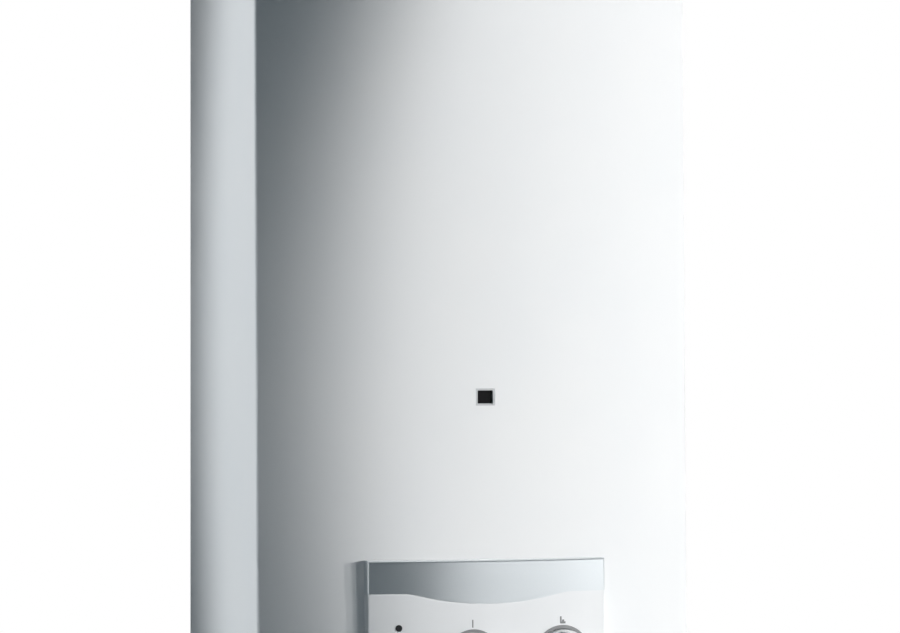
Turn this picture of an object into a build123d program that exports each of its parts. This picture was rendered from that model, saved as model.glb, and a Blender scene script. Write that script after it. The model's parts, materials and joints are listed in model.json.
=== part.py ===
"""Wall-hung gas water heater with an open flue, 580 x 310 x 243 mm, in millimetres.

+Z is up, +X is to the right of someone who faces the front, and the front faces -Y.
The origin is on the wall, on the centre line, level with the casing's lower edge.
"""
from build123d import *
import math
import os

# Casing: one bowed sheet hood, shallower at its top edge
casing_width = 310.0
casing_height = 580.0
casing_depth = 233.0
casing_lean = 11.0
bow_rise = 28.0
casing_sheet = 1.0
fold_radius = 3.0
lower_lip = 12.0
slide_gap = 0.3

# Sight window in the casing's front
window_height = 234.8
window_opening = (11.0, 9.0)
window_frame_wall = 1.3
window_frame_flange = 5.0
glass_thick = 2.0
glass_ledge = 1.5

# Control fascia on the lower front
fascia_width = 169.4
fascia_low = 2.0
fascia_high = 123.6
fascia_rise = 10.0
fascia_wall = 2.5
fascia_edge = 1.5
fascia_lap = 8.0
band_step = 0.8
band_end_height = 101.2
band_dip = 7.3
band_flat_from = 60.0
band_arc_to = 50.0
band_reverse_radius = 40.0
lap_thick = 1.5
lap_gap = 0.1
cutout_margin = 10.0
fascia_screw_radius = 1.45
fascia_screw_head = 3.2
fascia_screw_inset = 4.2
fascia_screw_low = 9.5
fascia_screw_high = 86.2
fascia_boss_radius = 3.8

# Dials, knobs and the lens on the fascia
dial_height = 57.2
power_dial_x = -12.0
temperature_dial_x = 52.5
power_ring_radius = 19.3
temperature_ring_radius = 20.9
ring_width = 2.2
ring_depth = 1.0
ring_proud = 0.3
well_wall = 2.0
well_floor_below = 0.5
knob_gap = 0.6
knob_skirt = 9.0
knob_grip_height = 10.0
knob_grip_width = 9.0
knob_hub_radius = 7.0
knob_fillet = 2.0
knob_floor_gap = 0.3
grip_corner = 4.0
grip_fillet = 1.5
grip_inset = 1.2
pointer_width = 1.6
pointer_depth = 0.7
pointer_from = 3.0
running_clearance = 0.05
lens_x = -63.7
lens_height = 77.8
lens_radius = 2.3
lens_proud = 0.3

# Back plate
plate_thick = 1.2
plate_flange = 18.0
plate_tab_width = 240.0
plate_tab_below = 20.0
hang_spacing_x = 200.0
hang_spacing_z = 550.0
hang_below = 40.0
hang_hole_radius = 4.0
casing_screw_height = 25.0
casing_screw_radius = 2.0
casing_screw_head = 4.2
casing_screw_gap = 0.3

# Water and gas fittings, half inch threads under the connection bracket
thread_radius = 10.48
thread_relief = 0.2
thread_below = 30.0
fitting_bore = 6.5
fitting_y = -60.0
hot_x = -85.0
gas_x = -12.0
cold_x = 62.0
bracket_height = 8.0
bracket_thick = 1.5
bracket_upright = 30.0
bracket_screw_head = 4.5
fitting_collar_flats = 27.0
fitting_collar_height = 8.0
fitting_spigot_radius = 9.0
locknut_flats = 30.0
locknut_height = 7.0
hot_fitting_top = 30.0

# Pipes
pipe_radius = 7.0
pipe_wall = 0.8
pipe_nut_flats = 22.0
pipe_nut_height = 16.0
joint_clearance = 0.05

# Gas and water valves
valve_back = -48.0
valve_front = -148.0
valve_corner = 6.0
valve_port_radius = 6.0
valve_rod_y = -100.0
valve_rod_height = 85.0
gas_valve_left = -48.0
gas_valve_right = 20.0
gas_valve_low = 35.0
gas_valve_high = 110.0
gas_seat_x = -2.0
seat_gap = 0.1
gas_chamber_radius = 17.0
gas_cap_thick = 6.0
gas_cap_spigot = 4.0
gas_throat_radius = 8.0
gas_throat_length = 12.0
gas_feed_radius = 5.0
gas_disc_radius = 12.0
gas_disc_thick = 4.0
water_valve_left = 45.0
water_valve_right = 80.0
water_valve_low = 32.0
water_valve_high = 95.0
diaphragm_radius = 36.0
diaphragm_thick = 1.5
diaphragm_flange = 8.0
diaphragm_chamber = 10.5
water_cover_thick = 13.5
water_cover_boss = 6.0
cover_boss_radius = 12.0
diaphragm_plate_radius = 24.0
diaphragm_plate_thick = 2.7
clamp_shank_radius = 1.6
clamp_head_radius = 3.0
clamp_gap = 0.1
drain_hexagon_flats = 13.0
valve_rod_radius = 3.0
spindle_radius = 4.0
spindle_flat = 3.0
spindle_boss_radius = 10.0
spindle_boss_length = 22.0
spindle_inside = 24.0
spring_radius = 8.0
spring_wire = 0.6
spring_turns = 6

# Combustion chamber and heat exchanger, one outline above the other
chamber_width = 200.0
chamber_depth = 140.0
chamber_before = 48.0
chamber_low = 262.0
chamber_high = 400.0
chamber_sheet = 1.0
exchanger_high = 450.0
coil_bend = 24.0
coil_gap = 0.4
coil_turn_rise = 44.0
coil_low = 290.0
fin_count = 19
fin_thick = 0.8
fin_pitch = 9.0
fin_inset = 2.0
pass_pitch = 40.0
union_height = 168.0
hot_riser_x = -122.5

# Burner
burner_sheet = 1.5
burner_low = 182.0
bar_count = 11
bar_pitch = 17.0
bar_width = 9.0
bar_low = 200.0
bar_high = 238.0
bar_crown = 8.0
bar_slots = 14
bar_slot_width = 1.2
bar_inlet_radius = 3.0
bar_sheet = 1.0
manifold_size = 14.0
manifold_gap = 2.0
nozzle_flats = 7.0
nozzle_radius = 2.5
jet_radius = 0.6
nozzle_length = 7.0
frame_side_gap = 0.5
front_plate_low = 222.0
sight_hole_radius = 8.0
electrode_x = 25.0
electrode_height = 246.0
ceramic_radius = 3.5
electrode_wire = 1.0

# Safety sensors
limiter_radius = 8.0
flue_sensor_radius = 6.0

# Draught hood and flue spigot
hood_width = 224.0
hood_margin = 15.0
hood_collar = 20.0
hood_below = 20.0
hood_sheet = 1.0
relief_above = 5.0
relief_height = 22.0
relief_margin = 25.0
flue_behind = 3.0
flue_bore = 55.5
flue_wall = 1.0
flue_above = 32.0
flue_rim = 8.0
flue_rim_thick = 1.2
bead_below = 14.0
bead_radius = 1.6
flue_clearance = 2.0
deflector_height = 505.0
deflector_depth = 90.0

# Front support, control box and battery box
support_sheet = 1.5
support_low = 14.0
support_high = 34.0
control_depth = 51.5
support_inset = 7.5
support_rise = 6.0
support_foot = 14.0
control_left = -92.0
control_right = -38.0
control_behind = 28.0
control_high = 104.0
control_cover = 2.0
gland_radius = 4.0
gland_height = 4.0
board_thick = 1.6
board_behind = 14.0
led_radius = 2.5
led_length = 8.0
cell_radius = 16.6
cell_length = 61.0
cell_tip_radius = 4.5
cell_tip = 1.5
cell_room = 0.3
battery_wall = 2.0
battery_inset = 41.5
battery_low = 14.0
battery_back = -62.0
door_thick = 2.0
door_knuckle_radius = 2.5
door_pin_radius = 1.0
knuckle_gap = 0.3

# Leads that the inside holds
lead_radius = 2.2
battery_lead_radius = 1.8
ignition_lead_x = -62.0
flame_lead_x = -80.0
lead_behind_box = 24.0
clip_wall = 1.4
clip_half = 3.0

bow_radius = ((casing_width / 2) ** 2 + bow_rise ** 2) / (2 * bow_rise)
panel_rise = fascia_rise - band_step
inner_half_width = casing_width / 2 - casing_sheet
plate_front = -plate_thick
chamber_front = -(casing_depth - chamber_before)
chamber_back = chamber_front + chamber_depth
chamber_y = chamber_front + chamber_depth / 2
hood_back = chamber_back + hood_margin
hood_front = chamber_front - hood_margin
hood_high = casing_height - hood_below
flue_y = chamber_y + flue_behind
flue_top = casing_height + flue_above
control_front = -(casing_depth - control_behind)
support_front = control_front + control_depth
hang_high = casing_height - hang_below
support_arm_x = casing_width / 2 - support_inset
battery_x = casing_width / 2 - battery_inset
coil_offset = pipe_radius + coil_gap
coil_x = chamber_width / 2 + coil_offset
coil_back = chamber_back + coil_offset
coil_front = chamber_front - coil_offset
chamber_corner = coil_bend - coil_offset
tube_height = (chamber_high + exchanger_high) / 2


def block(x, y, z):
    """A box from two limits along each axis."""
    limits = [sorted(pair) for pair in (x, y, z)]
    size = [high - low for low, high in limits]
    centre = [(high + low) / 2 for low, high in limits]
    return Pos(*centre) * Box(*size)


def rod(radius, start, end):
    """A round bar between two points."""
    line = Vector(*end) - Vector(*start)
    upright = (Align.CENTER, Align.CENTER, Align.MIN)
    return Plane(origin=start, z_dir=line) * Cylinder(radius, line.length, align=upright)


def hexagon(flats, start, end):
    """A hexagonal bar between two points."""
    line = Vector(*end) - Vector(*start)
    outline = RegularPolygon(flats / 2, 6, major_radius=False)
    return Plane(origin=start, z_dir=line) * extrude(outline, line.length)


def bent(points, bends, radius, bore=0.0):
    """A bar or tube along straight runs with round bends."""
    path = FilletPolyline(*points, radius=bends)
    section = Circle(radius)
    if bore:
        section = section - Circle(bore)
    return sweep(Plane(origin=path @ 0, z_dir=path % 0) * section, path=path)


def group(solids):
    return Compound(children=list(solids))


def parted(body, zones):
    """The body as touching solids, one for each piece in a zone and one for each piece left."""
    pieces = []
    for zone in zones:
        pieces += (body & zone).solids()
        body = body - zone
    return group(pieces + body.solids())


def lean_at(z):
    return casing_lean * z / casing_height


def front_y(x, z, out=0.0):
    """The bowed front's place in depth, moved outwards by out."""
    return lean_at(z) - casing_depth + bow_radius - math.sqrt((bow_radius + out) ** 2 - x ** 2)


def raise_leaning(outline, low, high):
    """Extrude a level outline upwards along the casing's lean."""
    slope = casing_lean / casing_height
    length = (high - low) * math.sqrt(1 + slope ** 2)
    return extrude(Pos(0, 0, low) * outline, length, dir=(0, slope, 1))


def bowed_slab(outer, inner, half_width, low, high):
    """The space between two surfaces that follow the casing's front."""
    arcs = []
    for out in (outer, inner):
        edge_y = front_y(half_width, low, out)
        arcs.append([(-half_width, edge_y), (0, front_y(0, low, out)), (half_width, edge_y)])
    front, back = arcs
    outline = Curve() + [
        ThreePointArc(*front),
        Line(front[2], back[2]),
        ThreePointArc(*reversed(back)),
        Line(back[0], front[0]),
    ]
    return raise_leaning(make_face(outline), low, high)


def casing_block(inset, low, high):
    """The casing's outer form, moved inwards by inset, from low to high."""
    half = casing_width / 2 - inset
    rear = 30.0
    side_y = front_y(half, low, -inset)
    outline = make_face(Curve() + [
        Line((-half, rear), (-half, side_y)),
        ThreePointArc((-half, side_y), (0, front_y(0, low, -inset)), (half, side_y)),
        Line((half, side_y), (half, rear)),
        Line((half, rear), (-half, rear)),
    ])
    if inset < fold_radius:
        outline = fillet(outline.vertices().group_by(Axis.Y)[0], fold_radius - inset)
    behind_wall = block((-half - 1, half + 1), (0, 2 * rear), (low - 1, high + 1))
    return raise_leaning(outline, low, high) - behind_wall


def chamber_inside():
    """The outline inside the chamber's wall."""
    width = chamber_width - 2 * chamber_sheet
    depth = chamber_depth - 2 * chamber_sheet
    return RectangleRounded(width, depth, chamber_corner - chamber_sheet)


def rounded_tube(low, high):
    """The chamber's rounded rectangular wall."""
    wall = RectangleRounded(chamber_width, chamber_depth, chamber_corner) - chamber_inside()
    return Pos(0, chamber_y, low) * extrude(wall, high - low)


def flat_walls(low, high):
    """Four zones over the chamber's flat walls, between its round corners."""
    flat_x = chamber_width / 2 - chamber_corner
    flat_y = (chamber_back - chamber_corner, chamber_front + chamber_corner)
    return [
        block((-chamber_width, -flat_x), flat_y, (low, high)),
        block((flat_x, chamber_width), flat_y, (low, high)),
        block((-flat_x, flat_x), (chamber_y, chamber_y + chamber_depth), (low, high)),
        block((-flat_x, flat_x), (chamber_y, chamber_y - chamber_depth), (low, high)),
    ]


# Casing and sight window

def window_block(extra, back, front):
    """A block as wide and high as the window opening plus extra on each side."""
    half_x = window_opening[0] / 2 + extra
    half_z = window_opening[1] / 2 + extra
    return block((-half_x, half_x), (back, front), (window_height - half_z, window_height + half_z))


def fascia_cutout():
    """The opening behind the fascia, for the knobs and the lamp."""
    half = fascia_width / 2 - cutout_margin
    low = fascia_low + cutout_margin + 2
    high = fascia_high - cutout_margin - 2
    return block((-half, half), (-casing_depth - 5, -casing_depth + 40), (low, high))


def fascia_screw_places():
    half = fascia_width / 2 - fascia_wall - fascia_screw_inset
    return [(side * half, z) for z in (fascia_screw_low, fascia_screw_high) for side in (-1, 1)]


def flue_slot_half():
    """Half the width of the slot that lets the casing pass the flue spigot."""
    return flue_bore + flue_wall + flue_clearance


def casing_zones():
    """The casing's top, lip, side walls and the strips round the fascia's opening."""
    x = (-casing_width, casing_width)
    y = (10, -casing_depth - 10)
    top_z = (casing_height - fold_radius, casing_height + 10)
    slot_half = flue_slot_half()
    lip_z = (-10, casing_sheet)
    lip_from = casing_width / 2 - lower_lip
    side_y = (10, -casing_depth + bow_rise + fold_radius + 1)
    side_from = casing_width / 2 - fold_radius
    opening = fascia_cutout().bounding_box()
    beside_z = (opening.min.Z, opening.max.Z)
    zones = []
    for sign in (-1, 1):
        zones.append(block((sign * slot_half, sign * casing_width), y, top_z))
    zones.append(block(x, y, top_z))
    for sign in (-1, 1):
        zones.append(block((sign * lip_from, sign * casing_width), y, lip_z))
    zones.append(block(x, y, lip_z))
    for sign in (-1, 1):
        zones.append(block((sign * side_from, sign * casing_width), side_y, (0, casing_height)))
    zones.append(block(x, y, beside_z))
    zones.append(block(x, y, (0, beside_z[0])))
    return zones


def front_casing():
    """The bowed sheet casing, open to the wall, with its slots and openings."""
    body = casing_block(0, 0, casing_height)
    top_rim = body.faces().sort_by(Axis.Z)[-1].edges().sort_by(Axis.Y)[:-1]
    body = fillet(top_rim, fold_radius)
    hollow = casing_block(casing_sheet, -5, casing_height - casing_sheet)
    top_rim = hollow.faces().sort_by(Axis.Z)[-1].edges().sort_by(Axis.Y)[:-1]
    hollow = fillet(top_rim, fold_radius - casing_sheet)
    body = body - hollow
    lip = casing_block(0, 0, casing_sheet) - casing_block(lower_lip, -1, casing_sheet + 1)
    body = body + lip
    slot_half = flue_slot_half()
    above = (casing_height - 5, casing_height + 5)
    body = body - block((-slot_half, slot_half), (flue_y, 5), above)
    body = body - rod(slot_half, (0, flue_y, above[0]), (0, flue_y, above[1]))
    body = body - fascia_cutout()
    through = (-casing_depth - 5, -casing_depth + 40)
    body = body - window_block(window_frame_wall + joint_clearance, *through)
    around = fascia_screw_radius + slide_gap
    for x, z in fascia_screw_places():
        body = body - block((x - around, x + around), through, (z - around, z + around))
    slot_reach = casing_screw_radius + casing_screw_gap
    slot_z = (casing_screw_height - slot_reach, casing_screw_height + slot_reach)
    body = body - block((-casing_width, casing_width), (5, -plate_flange / 2 - slot_reach), slot_z)
    return parted(body, casing_zones())


def window_seat_y():
    """Where the window frame's flange meets the inside of the casing."""
    reach = window_opening[0] / 2 + window_frame_wall + window_frame_flange
    return front_y(reach, window_height + reach, -casing_sheet) + 0.1


def sight_frame():
    """The window's frame: a nose in the casing's opening and a flange behind it."""
    seat = window_seat_y()
    nose_front = front_y(0, window_height) + 0.2
    flange_back = seat + glass_thick + glass_ledge
    frame = window_block(window_frame_wall, seat + 1, nose_front)
    frame = frame + window_block(window_frame_wall + window_frame_flange, seat, flange_back)
    glass_edge = window_frame_wall + glass_ledge + joint_clearance
    pocket = window_block(glass_edge, flange_back - glass_thick, flange_back + 1)
    return frame - pocket - window_block(0, seat - 20, seat + 20)


def sight_glass():
    back = window_seat_y() + glass_thick + glass_ledge
    return window_block(window_frame_wall + glass_ledge, back - glass_thick, back)


# Control fascia

def above_band_edge():
    """Everything above the band's curved lower edge."""
    half = fascia_width
    end = band_end_height
    low = end - band_dip
    arc_edge = end - (band_flat_from - band_arc_to) ** 2 / (2 * band_reverse_radius)
    turn_x = (band_flat_from + band_arc_to) / 2
    turn_z = end - (band_flat_from - turn_x) ** 2 / (2 * band_reverse_radius)
    top = casing_height
    outline = Curve() + [
        Line((-half, top), (-half, end)),
        Line((-half, end), (-band_flat_from, end)),
        ThreePointArc((-band_flat_from, end), (-turn_x, turn_z), (-band_arc_to, arc_edge)),
        ThreePointArc((-band_arc_to, arc_edge), (0, low), (band_arc_to, arc_edge)),
        ThreePointArc((band_arc_to, arc_edge), (turn_x, turn_z), (band_flat_from, end)),
        Line((band_flat_from, end), (half, end)),
        Line((half, end), (half, top)),
        Line((half, top), (-half, top)),
    ]
    return extrude(Plane.XZ * make_face(outline), 2 * casing_depth)


def fascia_shell(rise):
    """A shallow open-backed moulding that stands on the casing's front."""
    half = fascia_width / 2
    shell = bowed_slab(rise, 0, half, fascia_low, fascia_high)
    shell = fillet(shell.faces().sort_by(Axis.Y)[0].edges(), fascia_edge)
    hollow = bowed_slab(
        rise - fascia_wall, -2, half - fascia_wall, fascia_low + fascia_wall, fascia_high - fascia_wall
    )
    return shell - hollow


def fascia_band():
    return fascia_shell(fascia_rise) & above_band_edge()


def dial_floor(x, ring_radius):
    """The depth of a dial's flat floor, just under the lowest part of its rim."""
    reach = ring_radius - ring_width
    return front_y(abs(x) + reach, dial_height + reach, panel_rise) + well_floor_below


def dial_cup(x, ring_radius):
    """What a dial adds to the panel: a cup for the knob, with its floor."""
    floor = dial_floor(x, ring_radius)
    cup_radius = ring_radius + well_wall
    cup = rod(cup_radius, (x, floor + fascia_wall, dial_height), (x, floor - 30, dial_height))
    return cup & bowed_slab(panel_rise, 0.5, fascia_width / 2 - 1, fascia_low + 1, fascia_high - 1)


def dial_well(x, ring_radius):
    """What a dial takes out of the panel: the well, the ring's groove and the hub's hole."""
    floor = dial_floor(x, ring_radius)
    well = rod(ring_radius - ring_width, (x, floor, dial_height), (x, floor - 30, dial_height))
    hub_radius = knob_hub_radius + running_clearance
    hub = rod(hub_radius, (x, floor + 30, dial_height), (x, floor - 1, dial_height))
    return well + hub + ring_band(x, ring_radius, panel_rise - ring_depth, 30.0)


def ring_band(x, ring_radius, inner, outer):
    """A ring that follows the fascia's face, between two depths."""
    ends = (x, -casing_depth + 60, dial_height), (x, -casing_depth - 60, dial_height)
    ring = rod(ring_radius, *ends) - rod(ring_radius - ring_width, *ends)
    return ring & bowed_slab(outer, inner, fascia_width / 2 - 1, fascia_low + 1, fascia_high - 1)


def dial_ring(x, ring_radius):
    return ring_band(x, ring_radius, panel_rise - ring_depth, panel_rise + ring_proud)


def dials():
    return [(power_dial_x, power_ring_radius), (temperature_dial_x, temperature_ring_radius)]


def through_fascia(radius, x, z, front=-casing_depth - 20):
    """A round bar along Y that passes the fascia from front to back."""
    return rod(radius, (x, front, z), (x, -casing_depth + 40, z))


def band_lap():
    """The panel's strip behind the band's lower edge."""
    outer = fascia_rise - fascia_wall - lap_gap
    half = fascia_width / 2 - fascia_wall - lap_gap
    low = band_end_height - band_dip - fascia_lap
    return bowed_slab(outer, outer - lap_thick, half, low, band_end_height + fascia_lap)


def fascia_panel():
    """The moulded panel under the band, with screw bosses and a well for each dial."""
    panel = fascia_shell(panel_rise) - above_band_edge() + band_lap()
    behind_face = bowed_slab(panel_rise - 1, 0, fascia_width / 2 - 1, fascia_low + 1, fascia_high - 1)
    for x, z in fascia_screw_places():
        panel = panel + (through_fascia(fascia_boss_radius, x, z) & behind_face)
        hole_front = front_y(x, z, panel_rise) + fascia_wall + 1
        panel = panel - through_fascia(fascia_screw_radius + joint_clearance, x, z, hole_front)
    for x, ring_radius in dials():
        panel = panel + dial_cup(x, ring_radius)
    for x, ring_radius in dials():
        panel = panel - dial_well(x, ring_radius)
    return panel - through_fascia(lens_radius + joint_clearance, lens_x, lens_height)


def fascia_screws():
    """Four screws that hold the fascia from inside the casing."""
    screws = []
    for x, z in fascia_screw_places():
        reach = fascia_screw_head
        head_front = front_y(abs(x) + reach, z + reach, -casing_sheet)
        shank_front = front_y(x, z, panel_rise) + fascia_wall + 2
        head = rod(reach, (x, head_front, z), (x, head_front + 2.2, z))
        screws.append(head + rod(fascia_screw_radius, (x, head_front + 1, z), (x, shank_front, z)))
    return group(screws)


def led_lens():
    front = front_y(lens_x, lens_height, panel_rise) - lens_proud
    back = control_front - led_length - 1
    return rod(lens_radius, (lens_x, front, lens_height), (lens_x, back, lens_height))


# Knobs and spindles

def knob_base(x, ring_radius):
    return dial_floor(x, ring_radius) - knob_floor_gap


def knob(x, ring_radius):
    """A round knob with a straight grip, a pointer groove and a flatted bore."""
    radius = ring_radius - ring_width - knob_gap
    base = knob_base(x, ring_radius)
    top = base - knob_skirt
    tip = top - knob_grip_height
    skirt = rod(radius, (x, base, dial_height), (x, top, dial_height))
    skirt = fillet(skirt.faces().sort_by(Axis.Y)[0].edges(), knob_fillet)
    grip_reach = radius - grip_inset
    grip = block(
        (x - knob_grip_width / 2, x + knob_grip_width / 2),
        (top + 1, tip),
        (dial_height - grip_reach, dial_height + grip_reach),
    )
    grip = fillet(grip.edges().filter_by(Axis.Y), grip_corner)
    grip = fillet(grip.faces().sort_by(Axis.Y)[0].edges(), grip_fillet)
    hub = rod(knob_hub_radius, (x, base + fascia_wall + 3, dial_height), (x, base - 1, dial_height))
    pointer = block(
        (x - pointer_width / 2, x + pointer_width / 2),
        (tip - 1, tip + pointer_depth),
        (dial_height + pointer_from, dial_height + radius),
    )
    bore_end = spindle_tip(x, ring_radius) - 0.5
    fit = running_clearance
    bore = flatted(spindle_radius + fit, spindle_flat + fit, x, base + 20, bore_end)
    return skirt + grip + hub - pointer - bore


def flatted(radius, flat, x, back, front):
    """A round bar along Y with one flat on its upper side."""
    bar = rod(radius, (x, back, dial_height), (x, front, dial_height))
    return bar - block((x - 20, x + 20), (back + 1, front - 1), (dial_height + flat, dial_height + 20))


def spindle_tip(x, ring_radius):
    return knob_base(x, ring_radius) - knob_skirt - 1


def spindle(x, ring_radius):
    """A round bar from a valve into a knob, with a collar and a flat."""
    boss_front = valve_front - spindle_boss_length
    tip = spindle_tip(x, ring_radius)
    flat_from = knob_base(x, ring_radius) + 6
    back = valve_front + spindle_inside
    bar = rod(spindle_radius, (x, back, dial_height), (x, flat_from, dial_height))
    collar_back = boss_front - slide_gap
    collar_front = collar_back - 2
    bar = bar + rod(spindle_radius + 2, (x, collar_back, dial_height), (x, collar_front, dial_height))
    return bar + flatted(spindle_radius, spindle_flat, x, flat_from, tip)


# Back plate and brackets

def hang_places():
    heights = (hang_high, hang_high - hang_spacing_z)
    return [(side * hang_spacing_x / 2, z) for z in heights for side in (-1, 1)]


def casing_screw_bar(radius, start, end):
    """A round bar along X on the casing screws' line."""
    y, z = -plate_flange / 2, casing_screw_height
    return rod(radius, (start, y, z), (end, y, z))


def back_plate():
    """The wall plate, with side and top flanges and a tongue behind the flue."""
    half = inner_half_width - slide_gap
    low = casing_sheet + slide_gap
    high = casing_height - fold_radius
    plate = block((-half, half), (0, plate_front), (low, high))
    tab_half = plate_tab_width / 2
    plate = plate + block((-tab_half, tab_half), (0, plate_front), (-plate_tab_below, low))
    for side in (-1, 1):
        flange_x = (side * half, side * (half - plate_thick))
        plate = plate + block(flange_x, (0, -plate_flange), (low, high))
        hole = casing_screw_radius + joint_clearance
        plate = plate - casing_screw_bar(hole, side * (half + 10), side * (half - 10))
    plate = plate + block((-half, half), (0, -plate_flange), (high - plate_thick, high))
    under = flue_slot_half() + 6
    plate = plate + block((-under, under), (0, flue_y), (high - plate_thick, high))
    plate = plate - rod(flue_slot_half(), (0, flue_y, high - 5), (0, flue_y, high + 5))
    for x, z in hang_places():
        plate = plate - rod(hang_hole_radius, (x, 5, z), (x, -5, z))
    before = (plate_front, -casing_depth)
    inside = half - plate_thick
    under = flue_slot_half()
    return parted(plate, [
        block((-half, -inside), before, (low, high)),
        block((half, inside), before, (low, high)),
        block((-half, -under), before, (low, high)),
        block((half, under), before, (low, high)),
        block((-half, half), before, (low, high)),
    ])


def casing_screws():
    """The two screws that hold the casing to the wall plate's flanges."""
    z = casing_screw_height
    screws = []
    for side in (-1, 1):
        outside = side * (casing_width / 2 + 0.1)
        head = casing_screw_bar(casing_screw_head, outside, outside + side * 2.4)
        inner_end = side * (inner_half_width - 6)
        shank = casing_screw_bar(casing_screw_radius, outside + side, inner_end)
        slot_x = (outside + side * 1.4, outside + side * 4)
        screws.append(head + shank - block(slot_x, (-plate_flange, 0), (z - 0.5, z + 0.5)))
    return group(screws)


def connection_bracket():
    """The shelf that the three fittings stand in, with its upright on the plate."""
    x = (hot_x - 25, cold_x + 30)
    low = bracket_height - bracket_thick
    shelf = block(x, (plate_front, fitting_y - 26), (low, bracket_height))
    upright_y = (plate_front, plate_front - bracket_thick)
    bracket = shelf + block(x, upright_y, (low, bracket_height + bracket_upright))
    hole = thread_radius + slide_gap
    for x in (hot_x, gas_x, cold_x):
        bracket = bracket - rod(hole, (x, fitting_y, low - 1), (x, fitting_y, bracket_height + 1))
    return bracket


def bracket_screws():
    screws = []
    for x in (hot_x + 40, cold_x - 30):
        z = bracket_height + 20
        front = plate_front - bracket_thick
        screws.append(rod(bracket_screw_head, (x, front, z), (x, front - 3, z)))
    return group(screws)


def thread_top():
    """Where the free thread ends, at the locknut's underside."""
    return bracket_height - bracket_thick - locknut_height


def fitting(x, top):
    """A threaded stub that stands in the bracket, with a collar and a spigot."""
    body = rod(thread_radius, (x, fitting_y, -thread_below), (x, fitting_y, thread_top()))
    neck = thread_radius - thread_relief
    body = body + rod(neck, (x, fitting_y, thread_top() - 1), (x, fitting_y, bracket_height + 1))
    collar_top = bracket_height + fitting_collar_height
    collar_ends = (x, fitting_y, bracket_height), (x, fitting_y, collar_top)
    body = body + hexagon(fitting_collar_flats, *collar_ends)
    body = body + rod(fitting_spigot_radius, (x, fitting_y, collar_top - 1), (x, fitting_y, top))
    body = body - rod(fitting_bore, (x, fitting_y, -thread_below - 1), (x, fitting_y, top + 1))
    rim = body.edges().group_by(Axis.Z)[0].sort_by(SortBy.RADIUS)[-1]
    return chamfer(rim, 1.2)


def locknuts():
    top = bracket_height - bracket_thick
    nuts = []
    for x in (hot_x, gas_x, cold_x):
        nut = hexagon(locknut_flats, (x, fitting_y, top), (x, fitting_y, thread_top()))
        bore = thread_radius - thread_relief + joint_clearance
        nuts.append(nut - rod(bore, (x, fitting_y, top + 1), (x, fitting_y, top - locknut_height - 1)))
    return group(nuts)


# Gas valve

def rod_line(radius, start, end):
    """A round bar along X on the valve rod's line."""
    return rod(radius, (start, valve_rod_y, valve_rod_height), (end, valve_rod_y, valve_rod_height))


def gas_valve_body():
    """The cast gas valve: a chamber with a seat, its feed, its outlet and the rod's guide."""
    x = (gas_valve_left, gas_valve_right)
    body = block(x, (valve_back, valve_front), (gas_valve_low, gas_valve_high))
    body = fillet(body.edges().filter_by(Axis.X), valve_corner)
    body = body + valve_boss(power_dial_x)
    body = body - rod_line(gas_chamber_radius, gas_valve_left - 1, gas_seat_x)
    body = body - rod_line(gas_throat_radius, gas_seat_x, gas_seat_x + gas_throat_length)
    guide = valve_rod_radius + running_clearance
    body = body - rod_line(guide, gas_seat_x, gas_valve_right + 1)
    body = body - spindle_bore(power_dial_x)
    body = body - standing_bore(fitting_bore, gas_x, fitting_y, gas_valve_low - 1, valve_rod_height)
    feed_z = valve_rod_height - 6
    feed_end = valve_rod_y + gas_chamber_radius - 2
    body = body - rod(gas_feed_radius, (gas_x, fitting_y, feed_z), (gas_x, feed_end, feed_z))
    outlet_x, outlet_y, _ = gas_outlet()
    ends = (valve_rod_height, gas_valve_high + 1)
    return body - standing_bore(valve_port_radius, outlet_x, outlet_y, *ends)


def standing_bore(radius, x, y, low, high):
    """A round bar along Z."""
    return rod(radius, (x, y, low), (x, y, high))


def gas_outlet():
    """Where the burner's gas pipe leaves the gas valve's top."""
    return (gas_seat_x + 6, valve_rod_y, gas_valve_high)


def valve_boss(x):
    front = valve_front - spindle_boss_length
    return rod(spindle_boss_radius, (x, valve_front + 1, dial_height), (x, front, dial_height))


def spindle_bore(x):
    bore = spindle_radius + running_clearance
    front = valve_front - spindle_boss_length - 1
    return rod(bore, (x, front, dial_height), (x, valve_front + spindle_inside + 2, dial_height))


def gas_valve_cap():
    cap_x = gas_valve_left - gas_cap_thick
    cap = rod_line(gas_chamber_radius + 5, gas_valve_left, cap_x)
    spigot_x = gas_valve_left + gas_cap_spigot
    return cap + rod_line(gas_chamber_radius - joint_clearance, spigot_x, cap_x + 1)


def valve_spring():
    """A wire spring between the gas valve's cap and its disc, as tangent half turns."""
    start = gas_valve_left + gas_cap_spigot + spring_wire
    end = gas_seat_x - seat_gap - gas_disc_thick - spring_wire
    rise = (end - start) / (2 * spring_turns)
    reach = math.sqrt(spring_radius ** 2 + (rise / 2) ** 2)
    path = Curve()
    for half_turn in range(2 * spring_turns):
        side = 1 if half_turn % 2 == 0 else -1
        x = start + half_turn * rise
        first = (x, valve_rod_y, valve_rod_height + side * spring_radius)
        middle = (x + rise / 2, valve_rod_y + side * reach, valve_rod_height)
        last = (x + rise, valve_rod_y, valve_rod_height - side * spring_radius)
        path = path + ThreePointArc(first, middle, last)
    wire = path.wire()
    return sweep(Plane(origin=wire @ 0, z_dir=wire % 0) * Circle(spring_wire), path=wire)


def valve_rod():
    """The diaphragm's plate, the push rod and the gas disc, which move as one."""
    disc_right = gas_seat_x - seat_gap
    plate_right = water_valve_left - diaphragm_thick - slide_gap
    plate_left = plate_right - diaphragm_plate_thick
    body = rod_line(gas_disc_radius, disc_right, disc_right - gas_disc_thick)
    body = body + rod_line(valve_rod_radius, disc_right - 1, plate_left + 1)
    return body + rod_line(diaphragm_plate_radius, plate_left, plate_right)


# Water valve

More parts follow.
